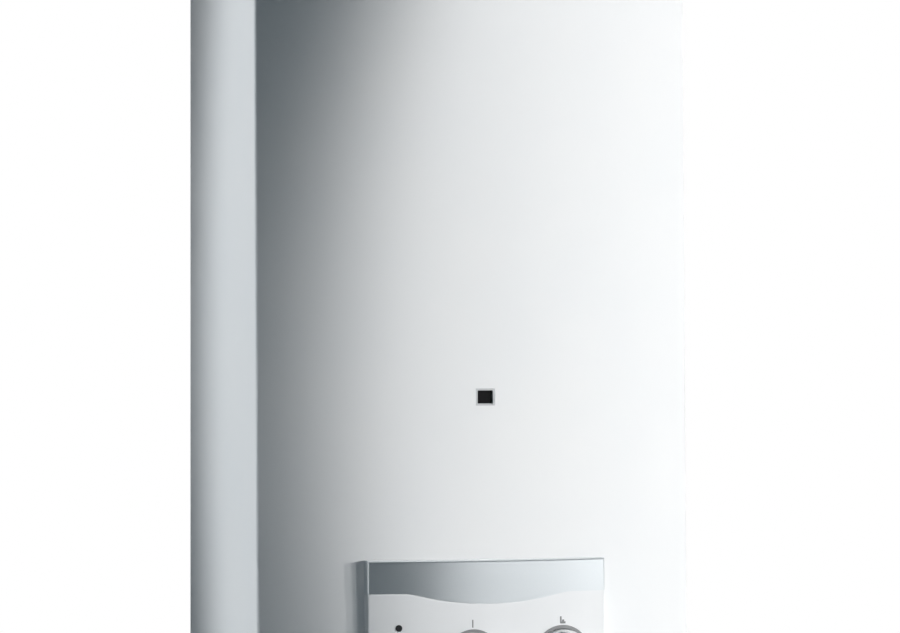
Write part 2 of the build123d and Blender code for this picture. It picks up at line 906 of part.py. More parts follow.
def clamp_screw_places():
    pitch_radius = diaphragm_radius - diaphragm_flange / 2
    places = []
    for step in range(6):
        angle = math.radians(60 * step + 30)
        y = valve_rod_y + pitch_radius * math.cos(angle)
        places.append((y, valve_rod_height + pitch_radius * math.sin(angle)))
    return places


def clamp_holes(left, right):
    """Round bars along X where the clamp screws pass."""
    radius = clamp_shank_radius + clamp_gap
    return [rod(radius, (left, y, z), (right, y, z)) for y, z in clamp_screw_places()]


def water_valve_body():
    """The cast water valve: half the diaphragm's chamber, its inlet and its outlet."""
    x = (water_valve_left, water_valve_right)
    body = block(x, (valve_back, valve_front), (water_valve_low, water_valve_high))
    body = fillet(body.edges().filter_by(Axis.X), valve_corner)
    body = body + rod_line(diaphragm_radius, water_valve_left, water_valve_left + water_cover_thick)
    body = body + valve_boss(temperature_dial_x)
    chamber_radius = diaphragm_radius - diaphragm_flange
    body = body - rod_line(chamber_radius, water_valve_left - 1, water_valve_left + 6)
    body = body - spindle_bore(temperature_dial_x)
    inlet_ends = (water_valve_low - 1, valve_rod_height)
    body = body - standing_bore(fitting_bore, cold_x, fitting_y, *inlet_ends)
    outlet_x, outlet_y, _ = water_outlet()
    outlet_ends = (valve_rod_height - 20, water_valve_high + 1)
    body = body - standing_bore(valve_port_radius, outlet_x, outlet_y, *outlet_ends)
    return body - clamp_holes(water_valve_left - 1, water_valve_left + 9)


def water_outlet():
    """Where the cold pipe leaves the water valve's top."""
    return (water_valve_right - pipe_radius - 1.5, valve_back - 14, water_valve_high)


def water_valve_cover():
    right = water_valve_left - diaphragm_thick
    left = right - water_cover_thick
    boss_left = left - water_cover_boss
    cover = rod_line(diaphragm_radius, left, right) + rod_line(cover_boss_radius, boss_left, left + 1)
    chamber_radius = diaphragm_radius - diaphragm_flange
    cover = cover - rod_line(chamber_radius, right - diaphragm_chamber, right + 1)
    cover = cover - rod_line(valve_rod_radius + running_clearance, boss_left - 1, right)
    return cover - clamp_holes(left - 1, right + 1)


def diaphragm():
    left = water_valve_left - diaphragm_thick
    disc = rod_line(diaphragm_radius - 0.5, left, water_valve_left)
    return disc - clamp_holes(left - 1, water_valve_left + 1)


def clamp_screws():
    left = water_valve_left - diaphragm_thick - water_cover_thick
    screws = []
    for y, z in clamp_screw_places():
        head = rod(clamp_head_radius, (left, y, z), (left - 3, y, z))
        shank = rod(clamp_shank_radius, (left - 1, y, z), (water_valve_left + 8, y, z))
        screws.append(head + shank)
    return group(screws)


def inlet_filter():
    """A strainer cup in the cold inlet."""
    bottom = water_valve_low + 1
    top = water_valve_low + 26
    tube = standing_bore(fitting_bore - 0.2, cold_x, fitting_y, bottom, top)
    return tube - standing_bore(fitting_bore - 1.2, cold_x, fitting_y, bottom - 1, top - 1)


def drain_screw():
    """The frost drain plug under the water valve."""
    x = water_valve_right - 12
    y = valve_front + 30
    low = water_valve_low
    head = hexagon(drain_hexagon_flats, (x, y, low), (x, y, low - 8))
    return head + standing_bore(3.0, x, y, low - 12, low - 7)


# Pipes

def cold_pipe():
    outlet = water_outlet()
    points = [
        outlet,
        (outlet[0], outlet[1], outlet[2] + 26),
        (coil_x, chamber_y, union_height - 24),
        (coil_x, chamber_y, union_height),
    ]
    return bent(points, 14.0, pipe_radius, pipe_radius - pipe_wall)


def hot_pipe():
    points = [
        (hot_riser_x, chamber_y - pass_pitch, union_height),
        (hot_riser_x, chamber_y - pass_pitch, union_height - 60),
        (hot_x, fitting_y, 66),
        (hot_x, fitting_y, hot_fitting_top),
    ]
    return bent(points, 20.0, pipe_radius, pipe_radius - pipe_wall)


def exchanger_pipe():
    """One copper tube: up, twice round the chamber, three times through the fins, down."""
    corner_rise = coil_turn_rise / 4
    corners = [(coil_x, coil_back), (-coil_x, coil_back), (-coil_x, coil_front), (coil_x, coil_front)]
    points = [(coil_x, chamber_y, union_height), (coil_x, chamber_y, coil_low)]
    for step in range(8):
        x, y = corners[step % 4]
        points.append((x, y, coil_low + (step + 0.6) * corner_rise))
    pass_x = (chamber_width + pass_pitch + 1) / 2
    entry_x = chamber_width / 2 + 21
    first_y = chamber_y + pass_pitch
    last_y = chamber_y - pass_pitch
    points.append((coil_x, first_y, coil_low + 8.2 * corner_rise))
    points.append((entry_x, first_y, tube_height))
    points.append((-pass_x, first_y, tube_height))
    points.append((-pass_x, chamber_y, tube_height))
    points.append((pass_x, chamber_y, tube_height))
    points.append((pass_x, last_y, tube_height))
    points.append((hot_riser_x, last_y, tube_height))
    points.append((hot_riser_x, last_y, union_height))
    bends = [coil_bend - 1] + [coil_bend] * 8 + [18.0, 12.0] + [pass_pitch / 2 - 0.5] * 4 + [18.0]
    tube = bent(points, bends, pipe_radius, pipe_radius - pipe_wall)
    through_fins = block(
        (-chamber_width / 2, chamber_width / 2),
        (chamber_back, chamber_front),
        (chamber_high, exchanger_high),
    )
    return parted(tube, flat_walls(chamber_low, chamber_high) + [through_fins])


def pipe_nuts():
    """The union nuts, where two pipe ends meet or a pipe meets a fitting."""
    places = [
        (coil_x, chamber_y, union_height - pipe_nut_height / 2),
        (hot_riser_x, chamber_y - pass_pitch, union_height - pipe_nut_height / 2),
        water_outlet(),
        (hot_x, fitting_y, hot_fitting_top),
        gas_outlet(),
    ]
    nuts = []
    for x, y, z in places:
        top = z + pipe_nut_height
        nut = hexagon(pipe_nut_flats, (x, y, z), (x, y, top))
        nuts.append(nut - standing_bore(pipe_radius + joint_clearance, x, y, z - 1, top + 1))
    return group(nuts)


def gas_pipe():
    """The pipe from the gas valve to the burner's manifold."""
    x, y, z = gas_outlet()
    end_y = manifold_y()
    end_z = manifold_low()
    points = [(x, y, z), (x, y, z + 46), (x, end_y, end_z - 34), (x, end_y, end_z)]
    return bent(points, 18.0, pipe_radius, pipe_radius - pipe_wall)


# Combustion chamber, heat exchanger and burner

def combustion_chamber():
    tube = rounded_tube(chamber_low, chamber_high)
    return parted(tube, flat_walls(chamber_low, chamber_high))


def fin_block():
    """The exchanger's jacket and its fins, with holes for the tube."""
    body = rounded_tube(chamber_high, exchanger_high)
    half_depth = chamber_depth / 2 - chamber_sheet
    for index in range(fin_count):
        x = (index - (fin_count - 1) / 2) * fin_pitch
        body = body + block(
            (x - fin_thick / 2, x + fin_thick / 2),
            (chamber_y - half_depth, chamber_y + half_depth),
            (chamber_high + fin_inset, exchanger_high - fin_inset),
        )
    hole = pipe_radius + joint_clearance
    for step in (-1, 0, 1):
        y = chamber_y + step * pass_pitch
        body = body - rod(hole, (-chamber_width, y, tube_height), (chamber_width, y, tube_height))
    inside_y = (chamber_y - half_depth, chamber_y + half_depth)
    flat_x = chamber_width / 2 - chamber_corner
    fins = block((-flat_x, flat_x), inside_y, (chamber_high, exchanger_high))
    return parted(body, [fins] + flat_walls(chamber_high, exchanger_high))


def bar_back():
    return chamber_back - 10


def bar_front():
    return chamber_front + 7


def frame_side():
    """Half the burner frame's width."""
    return chamber_width / 2 - burner_sheet - frame_side_gap


def front_plate_hole(radius, x, z):
    """A round bar along Y through the burner's front plate."""
    return rod(radius, (x, chamber_front - 5, z), (x, chamber_front + 5, z))


def burner_rim():
    """The flange under the chamber's wall."""
    x = (-chamber_width / 2, chamber_width / 2)
    rim = block(x, (chamber_back, chamber_front), (chamber_low - burner_sheet, chamber_low))
    rim = fillet(rim.edges().filter_by(Axis.Z), chamber_corner)
    inside = frame_side() - burner_sheet
    inner_y = (chamber_back - burner_sheet, chamber_front + burner_sheet)
    return rim - block((-inside, inside), inner_y, (chamber_low - 5, chamber_low + 5))


def burner_frame():
    """The sheet frame round the burner bars, with two arms back to the wall plate."""
    side = frame_side()
    arm_z = (burner_low + 10, burner_low + 50)
    frame = block((-side, side), (chamber_back, chamber_back - burner_sheet), (arm_z[0], chamber_low))
    front = (chamber_front, chamber_front + burner_sheet)
    frame = frame + block((-side, side), front, (front_plate_low, chamber_low))
    foot = (plate_front, plate_front - burner_sheet)
    for sign in (-1, 1):
        wall = (sign * side, sign * (side - burner_sheet))
        frame = frame + block(wall, (chamber_back, chamber_front), (burner_low, chamber_low))
        frame = frame + block(wall, (chamber_back - 1, plate_front), arm_z)
        frame = frame + block((sign * side, sign * (side - 16)), foot, arm_z)
    frame = frame + burner_rim()
    for y in (bar_back() - 8, bar_front() + 16):
        frame = frame + block((-side, side), (y, y - 8), (bar_low - 4, bar_low))
    frame = frame - front_plate_hole(sight_hole_radius, 0, window_height)
    for x in (-electrode_x, electrode_x):
        frame = frame - front_plate_hole(ceramic_radius + joint_clearance, x, electrode_height)
    return frame


def bar_places():
    return [(index - (bar_count - 1) / 2) * bar_pitch for index in range(bar_count)]


def bar_section(inset, back, length):
    """A burner bar's outline, narrower at its crown, carried forwards along Y."""
    half = bar_width / 2 - inset
    crown = half - 1.5
    low = bar_low + inset
    high = bar_high - inset
    shoulder = high - bar_crown
    outline = make_face(Polyline(
        (-half, low),
        (half, low),
        (half, shoulder),
        (crown, high),
        (-crown, high),
        (-half, shoulder),
        close=True,
    ))
    return Pos(0, back, 0) * extrude(Plane.XZ * outline, length)


def burner_bar():
    """One burner bar about x = 0, with its flame slots and its gas inlet."""
    length = bar_back() - bar_front()
    cavity = bar_section(bar_sheet, bar_back() - bar_sheet, length - 2 * bar_sheet)
    bar = bar_section(0, bar_back(), length) - cavity
    slot_pitch = length / (bar_slots + 1)
    for index in range(bar_slots):
        y = bar_front() + (index + 1) * slot_pitch
        slot_y = (y - bar_slot_width / 2, y + bar_slot_width / 2)
        bar = bar - block((-bar_width / 2, bar_width / 2), slot_y, (bar_high - 5, bar_high + 1))
    height = nozzle_height()
    return bar - rod(bar_inlet_radius, (0, bar_front() - 1, height), (0, bar_front() + 30, height))


def burner_bars():
    bar = burner_bar()
    return group([Pos(x, 0, 0) * bar for x in bar_places()])


def nozzle_height():
    return bar_low + 10


def manifold_y():
    return bar_front() - manifold_gap - nozzle_length - manifold_size / 2


def manifold_low():
    return nozzle_height() - manifold_size / 2


def gas_manifold():
    half = manifold_size / 2
    reach = bar_places()[-1] + 8
    y = manifold_y()
    z = nozzle_height()
    body = block((-reach, reach), (y - half, y + half), (z - half, z + half))
    body = fillet(body.edges().filter_by(Axis.X), 2.0)
    for sign in (-1, 1):
        ear_x = (sign * (reach - 3), sign * (frame_side() - burner_sheet))
        body = body + block(ear_x, (y + half - 1, chamber_front + 6), (z - half + 2, z - half + 5))
    return body - rod(4.0, (-reach + 4, y, z), (reach - 4, y, z))


def nozzles():
    y = manifold_y() + manifold_size / 2
    z = nozzle_height()
    jets = []
    for x in bar_places():
        head = hexagon(nozzle_flats, (x, y, z), (x, y + 3, z))
        jet = head + rod(nozzle_radius, (x, y + 2, z), (x, y + nozzle_length, z))
        jets.append(jet - rod(jet_radius, (x, y - 1, z), (x, y + nozzle_length + 1, z)))
    return group(jets)


def electrode_back():
    return chamber_front + 14


def electrode_front():
    return chamber_front - 14


def electrode_ceramic(x):
    """An electrode's insulator, with its collar against the front plate."""
    z = electrode_height
    body = rod(ceramic_radius, (x, electrode_front(), z), (x, electrode_back(), z))
    return body + rod(ceramic_radius + 2, (x, chamber_front, z), (x, chamber_front - 4, z))


def electrode_wires():
    """The electrodes' wires, bent down over the burner."""
    start = electrode_back()
    end = start + 12
    z = electrode_height
    wires = []
    for x in (-electrode_x, electrode_x):
        points = [(x, start, z), (x, end, z), (x, end, bar_high + 2)]
        wires.append(bent(points, 3.0, electrode_wire))
    return group(wires)


def overheat_limiter():
    """A disc thermostat held against the chamber's left wall, above the coil."""
    x = -chamber_width / 2
    y = chamber_y
    z = chamber_high - 12
    body = rod(limiter_radius, (x, y, z), (x - 6, y, z))
    body = body + rod(limiter_radius - 3, (x, y, z), (x - 10, y, z))
    for blade_y in ((y - 4, y - 3), (y + 3, y + 4)):
        body = body + block((x - 10, x - 18), blade_y, (z - 3, z + 3))
    return body


# Draught hood and flue

def hood_low():
    return exchanger_high + hood_collar


def relief_low():
    return hood_low() + relief_above


def draught_hood():
    """The hood over the exchanger, open at its sides and back as a draught diverter."""
    half = hood_width / 2
    low = hood_low()
    box = block((-half, half), (hood_back, hood_front), (low, hood_high))
    inner = half - hood_sheet
    inner_y = (hood_back - hood_sheet, hood_front + hood_sheet)
    box = box - block((-inner, inner), inner_y, (low + hood_sheet, hood_high - hood_sheet))
    box = box - Pos(0, chamber_y, low - 1) * extrude(chamber_inside(), hood_sheet + 2)
    box = box + rounded_tube(exchanger_high, low + hood_sheet)
    hole = flue_bore + flue_wall + joint_clearance
    box = box - standing_bore(hole, 0, flue_y, hood_high - 5, hood_high + 5)
    slot_z = (relief_low(), relief_low() + relief_height)
    side_slot_y = (hood_back - relief_margin, hood_front + relief_margin)
    box = box - block((-half - 1, half + 1), side_slot_y, slot_z)
    back_reach = half - relief_margin
    box = box - block((-back_reach, back_reach), (hood_back + 1, hood_back - 5), slot_z)
    all_y = (hood_back, hood_front)
    top_z = (hood_high - hood_sheet, hood_high)
    zones = [
        block((-half, -hole), all_y, top_z),
        block((half, hole), all_y, top_z),
        block((-half, half), (flue_y, hood_back), top_z),
        block((-half, half), (flue_y, hood_front), top_z),
    ]
    zones += flat_walls(exchanger_high, low + hood_sheet)
    zones += [
        block((-half, half), all_y, (exchanger_high, low + hood_sheet)),
        block((-half, -inner), all_y, (low, hood_high)),
        block((half, inner), all_y, (low, hood_high)),
    ]
    return parted(box, zones)


def flow_deflector():
    """The plate across the hood that turns back a down draught."""
    half = hood_width / 2 - hood_sheet
    y = (flue_y - deflector_depth / 2, flue_y + deflector_depth / 2)
    plate = block((-half, half), y, (deflector_height, deflector_height + hood_sheet))
    for sign in (-1, 1):
        side = (sign * half, sign * (half - hood_sheet))
        plate = plate + block(side, y, (deflector_height, deflector_height + 12))
    return plate


def flue_spigot():
    """The flue's outlet tube, with a rim on the hood and a rolled bead."""
    outer = flue_bore + flue_wall
    tube = standing_bore(outer, 0, flue_y, hood_high - 8, flue_top)
    rim = standing_bore(outer + flue_rim, 0, flue_y, hood_high, hood_high + flue_rim_thick)
    bead = Pos(0, flue_y, flue_top - bead_below) * Torus(outer - 0.4, bead_radius)
    return tube + rim + bead - standing_bore(flue_bore, 0, flue_y, hood_high - 20, flue_top + 5)


def hood_brackets():
    """Two brackets from the wall plate to the hood's back."""
    brackets = []
    high = hood_high - 15
    for sign in (-1, 1):
        x = (sign * 60, sign * 82)
        web = block(x, (plate_front, hood_back), (high - burner_sheet, high))
        foot = block(x, (plate_front, plate_front - burner_sheet), (high - 26, high))
        face = block(x, (hood_back + burner_sheet, hood_back), (high - 26, high))
        brackets.append(web + foot + face)
    return group(brackets)


def flue_sensor():
    """A spill sensor on a tab above the hood's right relief opening."""
    x = hood_width / 2
    z = relief_low() + relief_height + 12
    tab = block((x, x + 2), (flue_y - 8, flue_y + 8), (z - 6, z + 8))
    body = rod(flue_sensor_radius, (x + 2, flue_y, z), (x + 8, flue_y, z))
    return tab + body + rod(flue_sensor_radius / 2, (x + 7, flue_y, z), (x + 13, flue_y, z))


# Front support, control box and battery box

def battery_outer():
    """The battery box's left and right sides."""
    half = cell_radius + cell_room + battery_wall
    return battery_x - half, battery_x + half


def battery_front():
    return battery_back - 2 * (cell_length + cell_tip) - 2 * battery_wall - 4


def battery_high():
    return battery_low + 2 * (cell_radius + cell_room) + battery_wall


def support_frame():
    """Two side arms and a front bar, with the box's shelf, the battery's tab and two clips."""
    left, right = -support_arm_x, support_arm_x
    wall = support_sheet
    bar_y = (support_front, support_front + wall)
    frame = block((left, battery_outer()[0]), bar_y, (support_low, support_high))
    arm_z = (support_low + support_rise, support_high + support_rise)
    for x in ((left, left + wall), (right - wall, right)):
        frame = frame + block(x, (plate_front, support_front), arm_z)
    for x in ((left, left + support_foot), (right - support_foot, right)):
        frame = frame + block(x, (plate_front, plate_front - wall), arm_z)
    shelf_y = (support_front, control_front)
    frame = frame + block((control_left, control_right), shelf_y, (support_high - wall, support_high))
    tab_y = (battery_back - 40, battery_back - 90)
    tab_low = battery_high() - 12
    frame = frame + block((battery_outer()[1], right), tab_y, (tab_low, tab_low + wall))
    frame = frame + block((right - wall, right), tab_y, (arm_z[0], tab_low + wall))
    return frame + lead_clips()


def control_inside():
    """The limits of the control box's inside along X and Z."""
    wall = control_cover
    return (control_left + wall, control_right - wall), (support_high + wall, control_high - wall)


def control_box():
    """The box of the ignition board, open to the front, with a gland for each lead."""
    back = support_front - 4
    box_y = (back, control_front + control_cover)
    box = block((control_left, control_right), box_y, (support_high, control_high))
    inner_x, inner_z = control_inside()
    box = box - block(inner_x, (back - control_cover, control_front), inner_z)
    gland = control_high + gland_height
    for x in (ignition_lead_x, flame_lead_x):
        box = box + standing_bore(gland_radius, x, lead_back_y(), control_high - 1, gland)
    for x in (ignition_lead_x, flame_lead_x):
        bore = lead_radius + joint_clearance
        box = box - standing_bore(bore, x, lead_back_y(), control_high, gland + 1)
    return box


def circuit_board():
    """The board between the control box's walls, with a transformer, a capacitor and the lamp."""
    inner_x, inner_z = control_inside()
    left, right = inner_x
    low = inner_z[0]
    face = control_front + board_behind
    board = block(inner_x, (face, face + board_thick), inner_z)
    board = board + block((left + 6, left + 24), (face + 1, face + 16), (low + 8, low + 26))
    capacitor_x = right - 12
    capacitor_z = low + 16
    capacitor_ends = (capacitor_x, face + 1, capacitor_z), (capacitor_x, face + 13, capacitor_z)
    board = board + rod(5.0, *capacitor_ends)
    tip = control_front - led_length
    lamp = rod(led_radius, (lens_x, face + 0.5, lens_height), (lens_x, tip, lens_height))
    return board + fillet(lamp.faces().sort_by(Axis.Y)[0].edges(), led_radius - 0.2)


def control_box_cover():
    cover_y = (control_front + control_cover, control_front)
    cover = block((control_left, control_right), cover_y, (support_high, control_high))
    hole_ends = (lens_x, control_front + 5, lens_height), (lens_x, control_front - 5, lens_height)
    return cover - rod(led_radius + joint_clearance, *hole_ends)


def battery_box():
    """A box for two cells in line, open below, with the door's middle knuckle."""
    left, right = battery_outer()
    high = battery_high()
    box = block((left, right), (battery_back, battery_front()), (battery_low, high))
    wall = battery_wall
    inner_y = (battery_back - wall, battery_front() + wall)
    box = box - block((left + wall, right - wall), inner_y, (battery_low - 1, high - wall))
    knuckle = door_knuckles()[1]
    web = block((right - 1, door_axis()[0]), knuckle, (battery_low, battery_low + wall))
    return box + knuckle_solid(knuckle) + web - door_pin_bore()


def door_axis():
    """The door's hinge line, beside the box's lower right edge."""
    return battery_outer()[1] + door_knuckle_radius + 0.4, battery_low


def door_knuckles():
    """Three stretches of the hinge, of which the middle one is the box's."""
    back = battery_back - 20
    front = battery_front() + 20
    third = (front - back) / 3
    stretches = []
    for index in range(3):
        start = back + index * third
        stretches.append((start - knuckle_gap, start + third + knuckle_gap))
    return stretches


def knuckle_solid(stretch):
    x, z = door_axis()
    return rod(door_knuckle_radius, (x, stretch[0], z), (x, stretch[1], z))


def door_pin_bore():
    x, z = door_axis()
    return rod(door_pin_radius + running_clearance, (x, battery_back, z), (x, battery_front(), z))


def battery_door():
    """The door under the cells, with two knuckles and three finger ribs."""
    left, right = battery_outer()
    top = battery_low - slide_gap
    plate = block((left, right - 0.5), (battery_back, battery_front()), (top - door_thick, top))
    for index in (0, 2):
        stretch = door_knuckles()[index]
        plate = plate + knuckle_solid(stretch)
        plate = plate + block((right - 1, door_axis()[0]), stretch, (top - door_thick, top))
    x, z = door_axis()
    middle = door_knuckles()[1]
    plate = plate - rod(door_knuckle_radius + 0.4, (x, middle[0] + 0.4, z), (x, middle[1] - 0.4, z))
    centre_y = (battery_back + battery_front()) / 2
    low = top - door_thick
    for step in (-4, 0, 4):
        y = centre_y + step
        plate = plate + block((left + 4, left + 16), (y - 0.8, y + 0.8), (low - 1, low + 1))
    return plate - door_pin_bore()


def battery_door_pin():
    x, z = door_axis()
    stretches = door_knuckles()
    return rod(door_pin_radius, (x, stretches[0][0] + 1, z), (x, stretches[2][1] - 1, z))


def cells():
    """Two cells in line, their tips towards the front."""
    z = battery_low + cell_room + cell_radius
    solids = []
    for index in range(2):
        back = battery_back - battery_wall - 2 - index * (cell_length + cell_tip)
        body = rod(cell_radius, (battery_x, back, z), (battery_x, back - cell_length, z))
        body = fillet(body.edges(), 0.8)
        end = back - cell_length
        tip = rod(cell_tip_radius, (battery_x, end + 1, z), (battery_x, end - cell_tip, z))
        solids.append(body + tip)
    return group(solids)


# Leads

def lead_back_y():
    """How deep the electrodes' leads stand in the control box's glands."""
    return support_front - lead_behind_box


def electrode_lead(electrode_side, box_x, middle_x):
    """A lead from an electrode's end down to the control box's gland."""
    x = electrode_side * electrode_x
    start_y = electrode_front()
    points = [
        (x, start_y, electrode_height),
        (x, start_y - 15, electrode_height),
        (middle_x, start_y - 15, electrode_height - 56),
        (box_x, start_y - 6, electrode_height - 96),
        (box_x, lead_back_y(), control_high + 20),
        (box_x, lead_back_y(), control_high),
    ]
    return bent(points, [8.0, 20.0, 20.0, 12.0], lead_radius)


def electrode_leads():
    ignition = electrode_lead(1, ignition_lead_x, -30.0)
    return group([ignition, electrode_lead(-1, flame_lead_x, -78.0)])


def supply_line():
    """Where the battery's lead runs along the front support, in depth and height."""
    return support_front - battery_lead_radius - 1.5, support_low + 10


def battery_lead():
    """The supply lead from the battery box to the control box."""
    y, z = supply_line()
    left_x = battery_outer()[0]
    points = [
        (left_x, y - 10, z + 4),
        (left_x - 16, y - 10, z + 4),
        (left_x - 40, y, z),
        (control_right + 40, y, z),
        (control_right + 16, y - 6, z + 22),
        (control_right, y - 6, z + 22),
    ]
    return bent(points, [14.0, 30.0, 14.0, 10.0], battery_lead_radius)


def lead_clips():
    """Two clips on the front support, for the battery's lead."""
    y, z = supply_line()
    bore = rod(battery_lead_radius + joint_clearance, (0, y, z), (100, y, z))
    clips = Part()
    for x in (18.0, 40.0):
        ends = (x - clip_half, x + clip_half)
        ring = rod(battery_lead_radius + clip_wall, (ends[0], y, z), (ends[1], y, z))
        foot = block(ends, (y, support_front + 0.5), (z - 2, z + 8))
        clips = clips + (ring + foot - bore)
    return clips


nodes = {
    "front_casing": front_casing,
    "sight_frame": sight_frame,
    "sight_glass": sight_glass,
    "fascia_panel": fascia_panel,
    "fascia_band": fascia_band,
    "fascia_screws": fascia_screws,
    "dial_rings": lambda: group([dial_ring(x, ring_radius) for x, ring_radius in dials()]),
    "led_lens": led_lens,
    "power_knob": lambda: knob(power_dial_x, power_ring_radius),
    "temperature_knob": lambda: knob(temperature_dial_x, temperature_ring_radius),
    "power_spindle": lambda: spindle(power_dial_x, power_ring_radius),
    "temperature_spindle": lambda: spindle(temperature_dial_x, temperature_ring_radius),
    "back_plate": back_plate,
    "casing_screws": casing_screws,
    "connection_bracket": connection_bracket,
    "bracket_screws": bracket_screws,
    "hot_outlet_fitting": lambda: fitting(hot_x, hot_fitting_top),
    "gas_inlet_fitting": lambda: fitting(gas_x, gas_valve_low),
    "cold_inlet_fitting": lambda: fitting(cold_x, water_valve_low),
    "locknuts": locknuts,
    "gas_valve_body": gas_valve_body,
    "gas_valve_cap": gas_valve_cap,
    "valve_spring": valve_spring,
    "valve_rod": valve_rod,
    "water_valve_body": water_valve_body,
    "water_valve_cover": water_valve_cover,
    "diaphragm": diaphragm,
    "clamp_screws": clamp_screws,
    "inlet_filter": inlet_filter,
    "drain_screw": drain_screw,
    "cold_pipe": cold_pipe,
    "hot_pipe": hot_pipe,
    "exchanger_pipe": exchanger_pipe,
    "pipe_nuts": pipe_nuts,
    "gas_pipe": gas_pipe,
    "combustion_chamber": combustion_chamber,
    "fin_block": fin_block,
    "burner_frame": burner_frame,
    "burner_bars": burner_bars,
    "gas_manifold": gas_manifold,
    "nozzles": nozzles,
    "ignition_electrode": lambda: electrode_ceramic(electrode_x),
    "flame_electrode": lambda: electrode_ceramic(-electrode_x),
    "electrode_wires": electrode_wires,
    "overheat_limiter": overheat_limiter,
    "draught_hood": draught_hood,
    "flow_deflector": flow_deflector,
    "flue_spigot": flue_spigot,
    "hood_brackets": hood_brackets,
    "flue_sensor": flue_sensor,
    "support_frame": support_frame,
    "control_box": control_box,
    "control_box_cover": control_box_cover,
    "circuit_board": circuit_board,
    "battery_box": battery_box,
    "battery_door": battery_door,
    "battery_door_pin": battery_door_pin,
    "cells": cells,
    "electrode_leads": electrode_leads,
    "battery_lead": battery_lead,
}

os.makedirs("parts", exist_ok=True)
for name, make in nodes.items():
    export_step(make(), os.path.join("parts", name + ".step"))
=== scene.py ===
"""Looks and studio for the wall-hung gas water heater, in metres, in the part's own frame."""
import json
import math

import bmesh
import bpy
from mathutils import Matrix, Vector


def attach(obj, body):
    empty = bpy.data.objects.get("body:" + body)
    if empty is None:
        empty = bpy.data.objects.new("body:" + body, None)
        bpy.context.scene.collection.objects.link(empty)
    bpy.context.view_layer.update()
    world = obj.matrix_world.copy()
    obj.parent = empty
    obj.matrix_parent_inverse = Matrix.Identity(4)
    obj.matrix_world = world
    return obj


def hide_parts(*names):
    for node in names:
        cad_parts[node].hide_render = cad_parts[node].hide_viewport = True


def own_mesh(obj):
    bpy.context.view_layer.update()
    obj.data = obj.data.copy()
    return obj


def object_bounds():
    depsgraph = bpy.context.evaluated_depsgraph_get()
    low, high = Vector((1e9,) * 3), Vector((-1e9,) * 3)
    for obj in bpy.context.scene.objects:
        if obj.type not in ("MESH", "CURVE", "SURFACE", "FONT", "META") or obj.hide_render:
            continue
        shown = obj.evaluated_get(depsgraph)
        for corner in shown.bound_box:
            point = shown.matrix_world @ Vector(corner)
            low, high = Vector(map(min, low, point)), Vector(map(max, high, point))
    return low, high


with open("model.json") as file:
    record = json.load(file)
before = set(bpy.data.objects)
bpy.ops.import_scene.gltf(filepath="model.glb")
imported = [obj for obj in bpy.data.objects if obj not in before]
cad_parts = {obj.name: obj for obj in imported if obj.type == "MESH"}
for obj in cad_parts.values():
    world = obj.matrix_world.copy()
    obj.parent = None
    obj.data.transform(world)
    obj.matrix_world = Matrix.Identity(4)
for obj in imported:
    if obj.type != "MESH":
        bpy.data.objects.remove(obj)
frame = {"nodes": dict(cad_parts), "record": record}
cad_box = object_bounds()
mm = 0.001

# Fascia and casing front, as the part has them, in millimetres
casing_width = 310.0
casing_height = 580.0
casing_depth = 233.0
casing_lean = 11.0
bow_rise = 28.0
bow_radius = ((casing_width / 2) ** 2 + bow_rise ** 2) / (2 * bow_rise)
panel_rise = 9.2
dial_height = 57.2
power_dial_x = -12.0
temperature_dial_x = 52.5
power_ring_radius = 19.3
temperature_ring_radius = 20.9

# Half inch pipe thread and hexagons
thread_radius = 10.48
thread_pitch = 1.814
thread_depth = 1.0
fitting_bore = 6.5
collar_flats = 27.0
locknut_flats = 30.0
union_flats = 22.0


# Nodes of a finish

def new_finish(name, colour, roughness, metallic=0.0, coat=0.0, coat_roughness=0.1, ior=1.5):
    """A material with its principled shader, its constants set on the shader's own sockets."""
    material = bpy.data.materials.new(name)
    material.use_nodes = True
    shader = material.node_tree.nodes["Principled BSDF"]
    shader.inputs["Base Color"].default_value = (*colour, 1.0)
    shader.inputs["Roughness"].default_value = roughness
    shader.inputs["Metallic"].default_value = metallic
    shader.inputs["Coat Weight"].default_value = coat
    shader.inputs["Coat Roughness"].default_value = coat_roughness
    shader.inputs["IOR"].default_value = ior
    material.diffuse_color = (*colour, 1.0)
    return material


def node(material, kind, **settings):
    made = material.node_tree.nodes.new(kind)
    for key, value in settings.items():
        setattr(made, key, value)
    return made


def join(material, source, target):
    material.node_tree.links.new(source, target)


def place(material, stretch=(1.0, 1.0, 1.0), turn=(0.0, 0.0, 0.0)):
    """Object coordinates, stretched and turned for a pattern."""
    coordinate = node(material, "ShaderNodeTexCoord")
    mapping = node(material, "ShaderNodeMapping")
    mapping.inputs["Scale"].default_value = stretch
    mapping.inputs["Rotation"].default_value = turn
    join(material, coordinate.outputs["Object"], mapping.inputs["Vector"])
    return mapping.outputs["Vector"]


def noise(material, vector, scale, detail=3.0, roughness=0.5):
    texture = node(material, "ShaderNodeTexNoise")
    texture.inputs["Scale"].default_value = scale
    texture.inputs["Detail"].default_value = detail
    texture.inputs["Roughness"].default_value = roughness
    join(material, vector, texture.inputs["Vector"])
    return texture.outputs["Fac"]


def cells_pattern(material, vector, scale, feature="F1", output="Distance"):
    texture = node(material, "ShaderNodeTexVoronoi", feature=feature)
    texture.inputs["Scale"].default_value = scale
    join(material, vector, texture.inputs["Vector"])
    return texture.outputs[output]


def between(material, value, low, high, start=0.0, end=1.0):
    """A pattern's value carried from one range to another."""
    span = node(material, "ShaderNodeMapRange")
    span.inputs["From Min"].default_value = start
    span.inputs["From Max"].default_value = end
    span.inputs["To Min"].default_value = low
    span.inputs["To Max"].default_value = high
    join(material, value, span.inputs["Value"])
    return span.outputs["Result"]


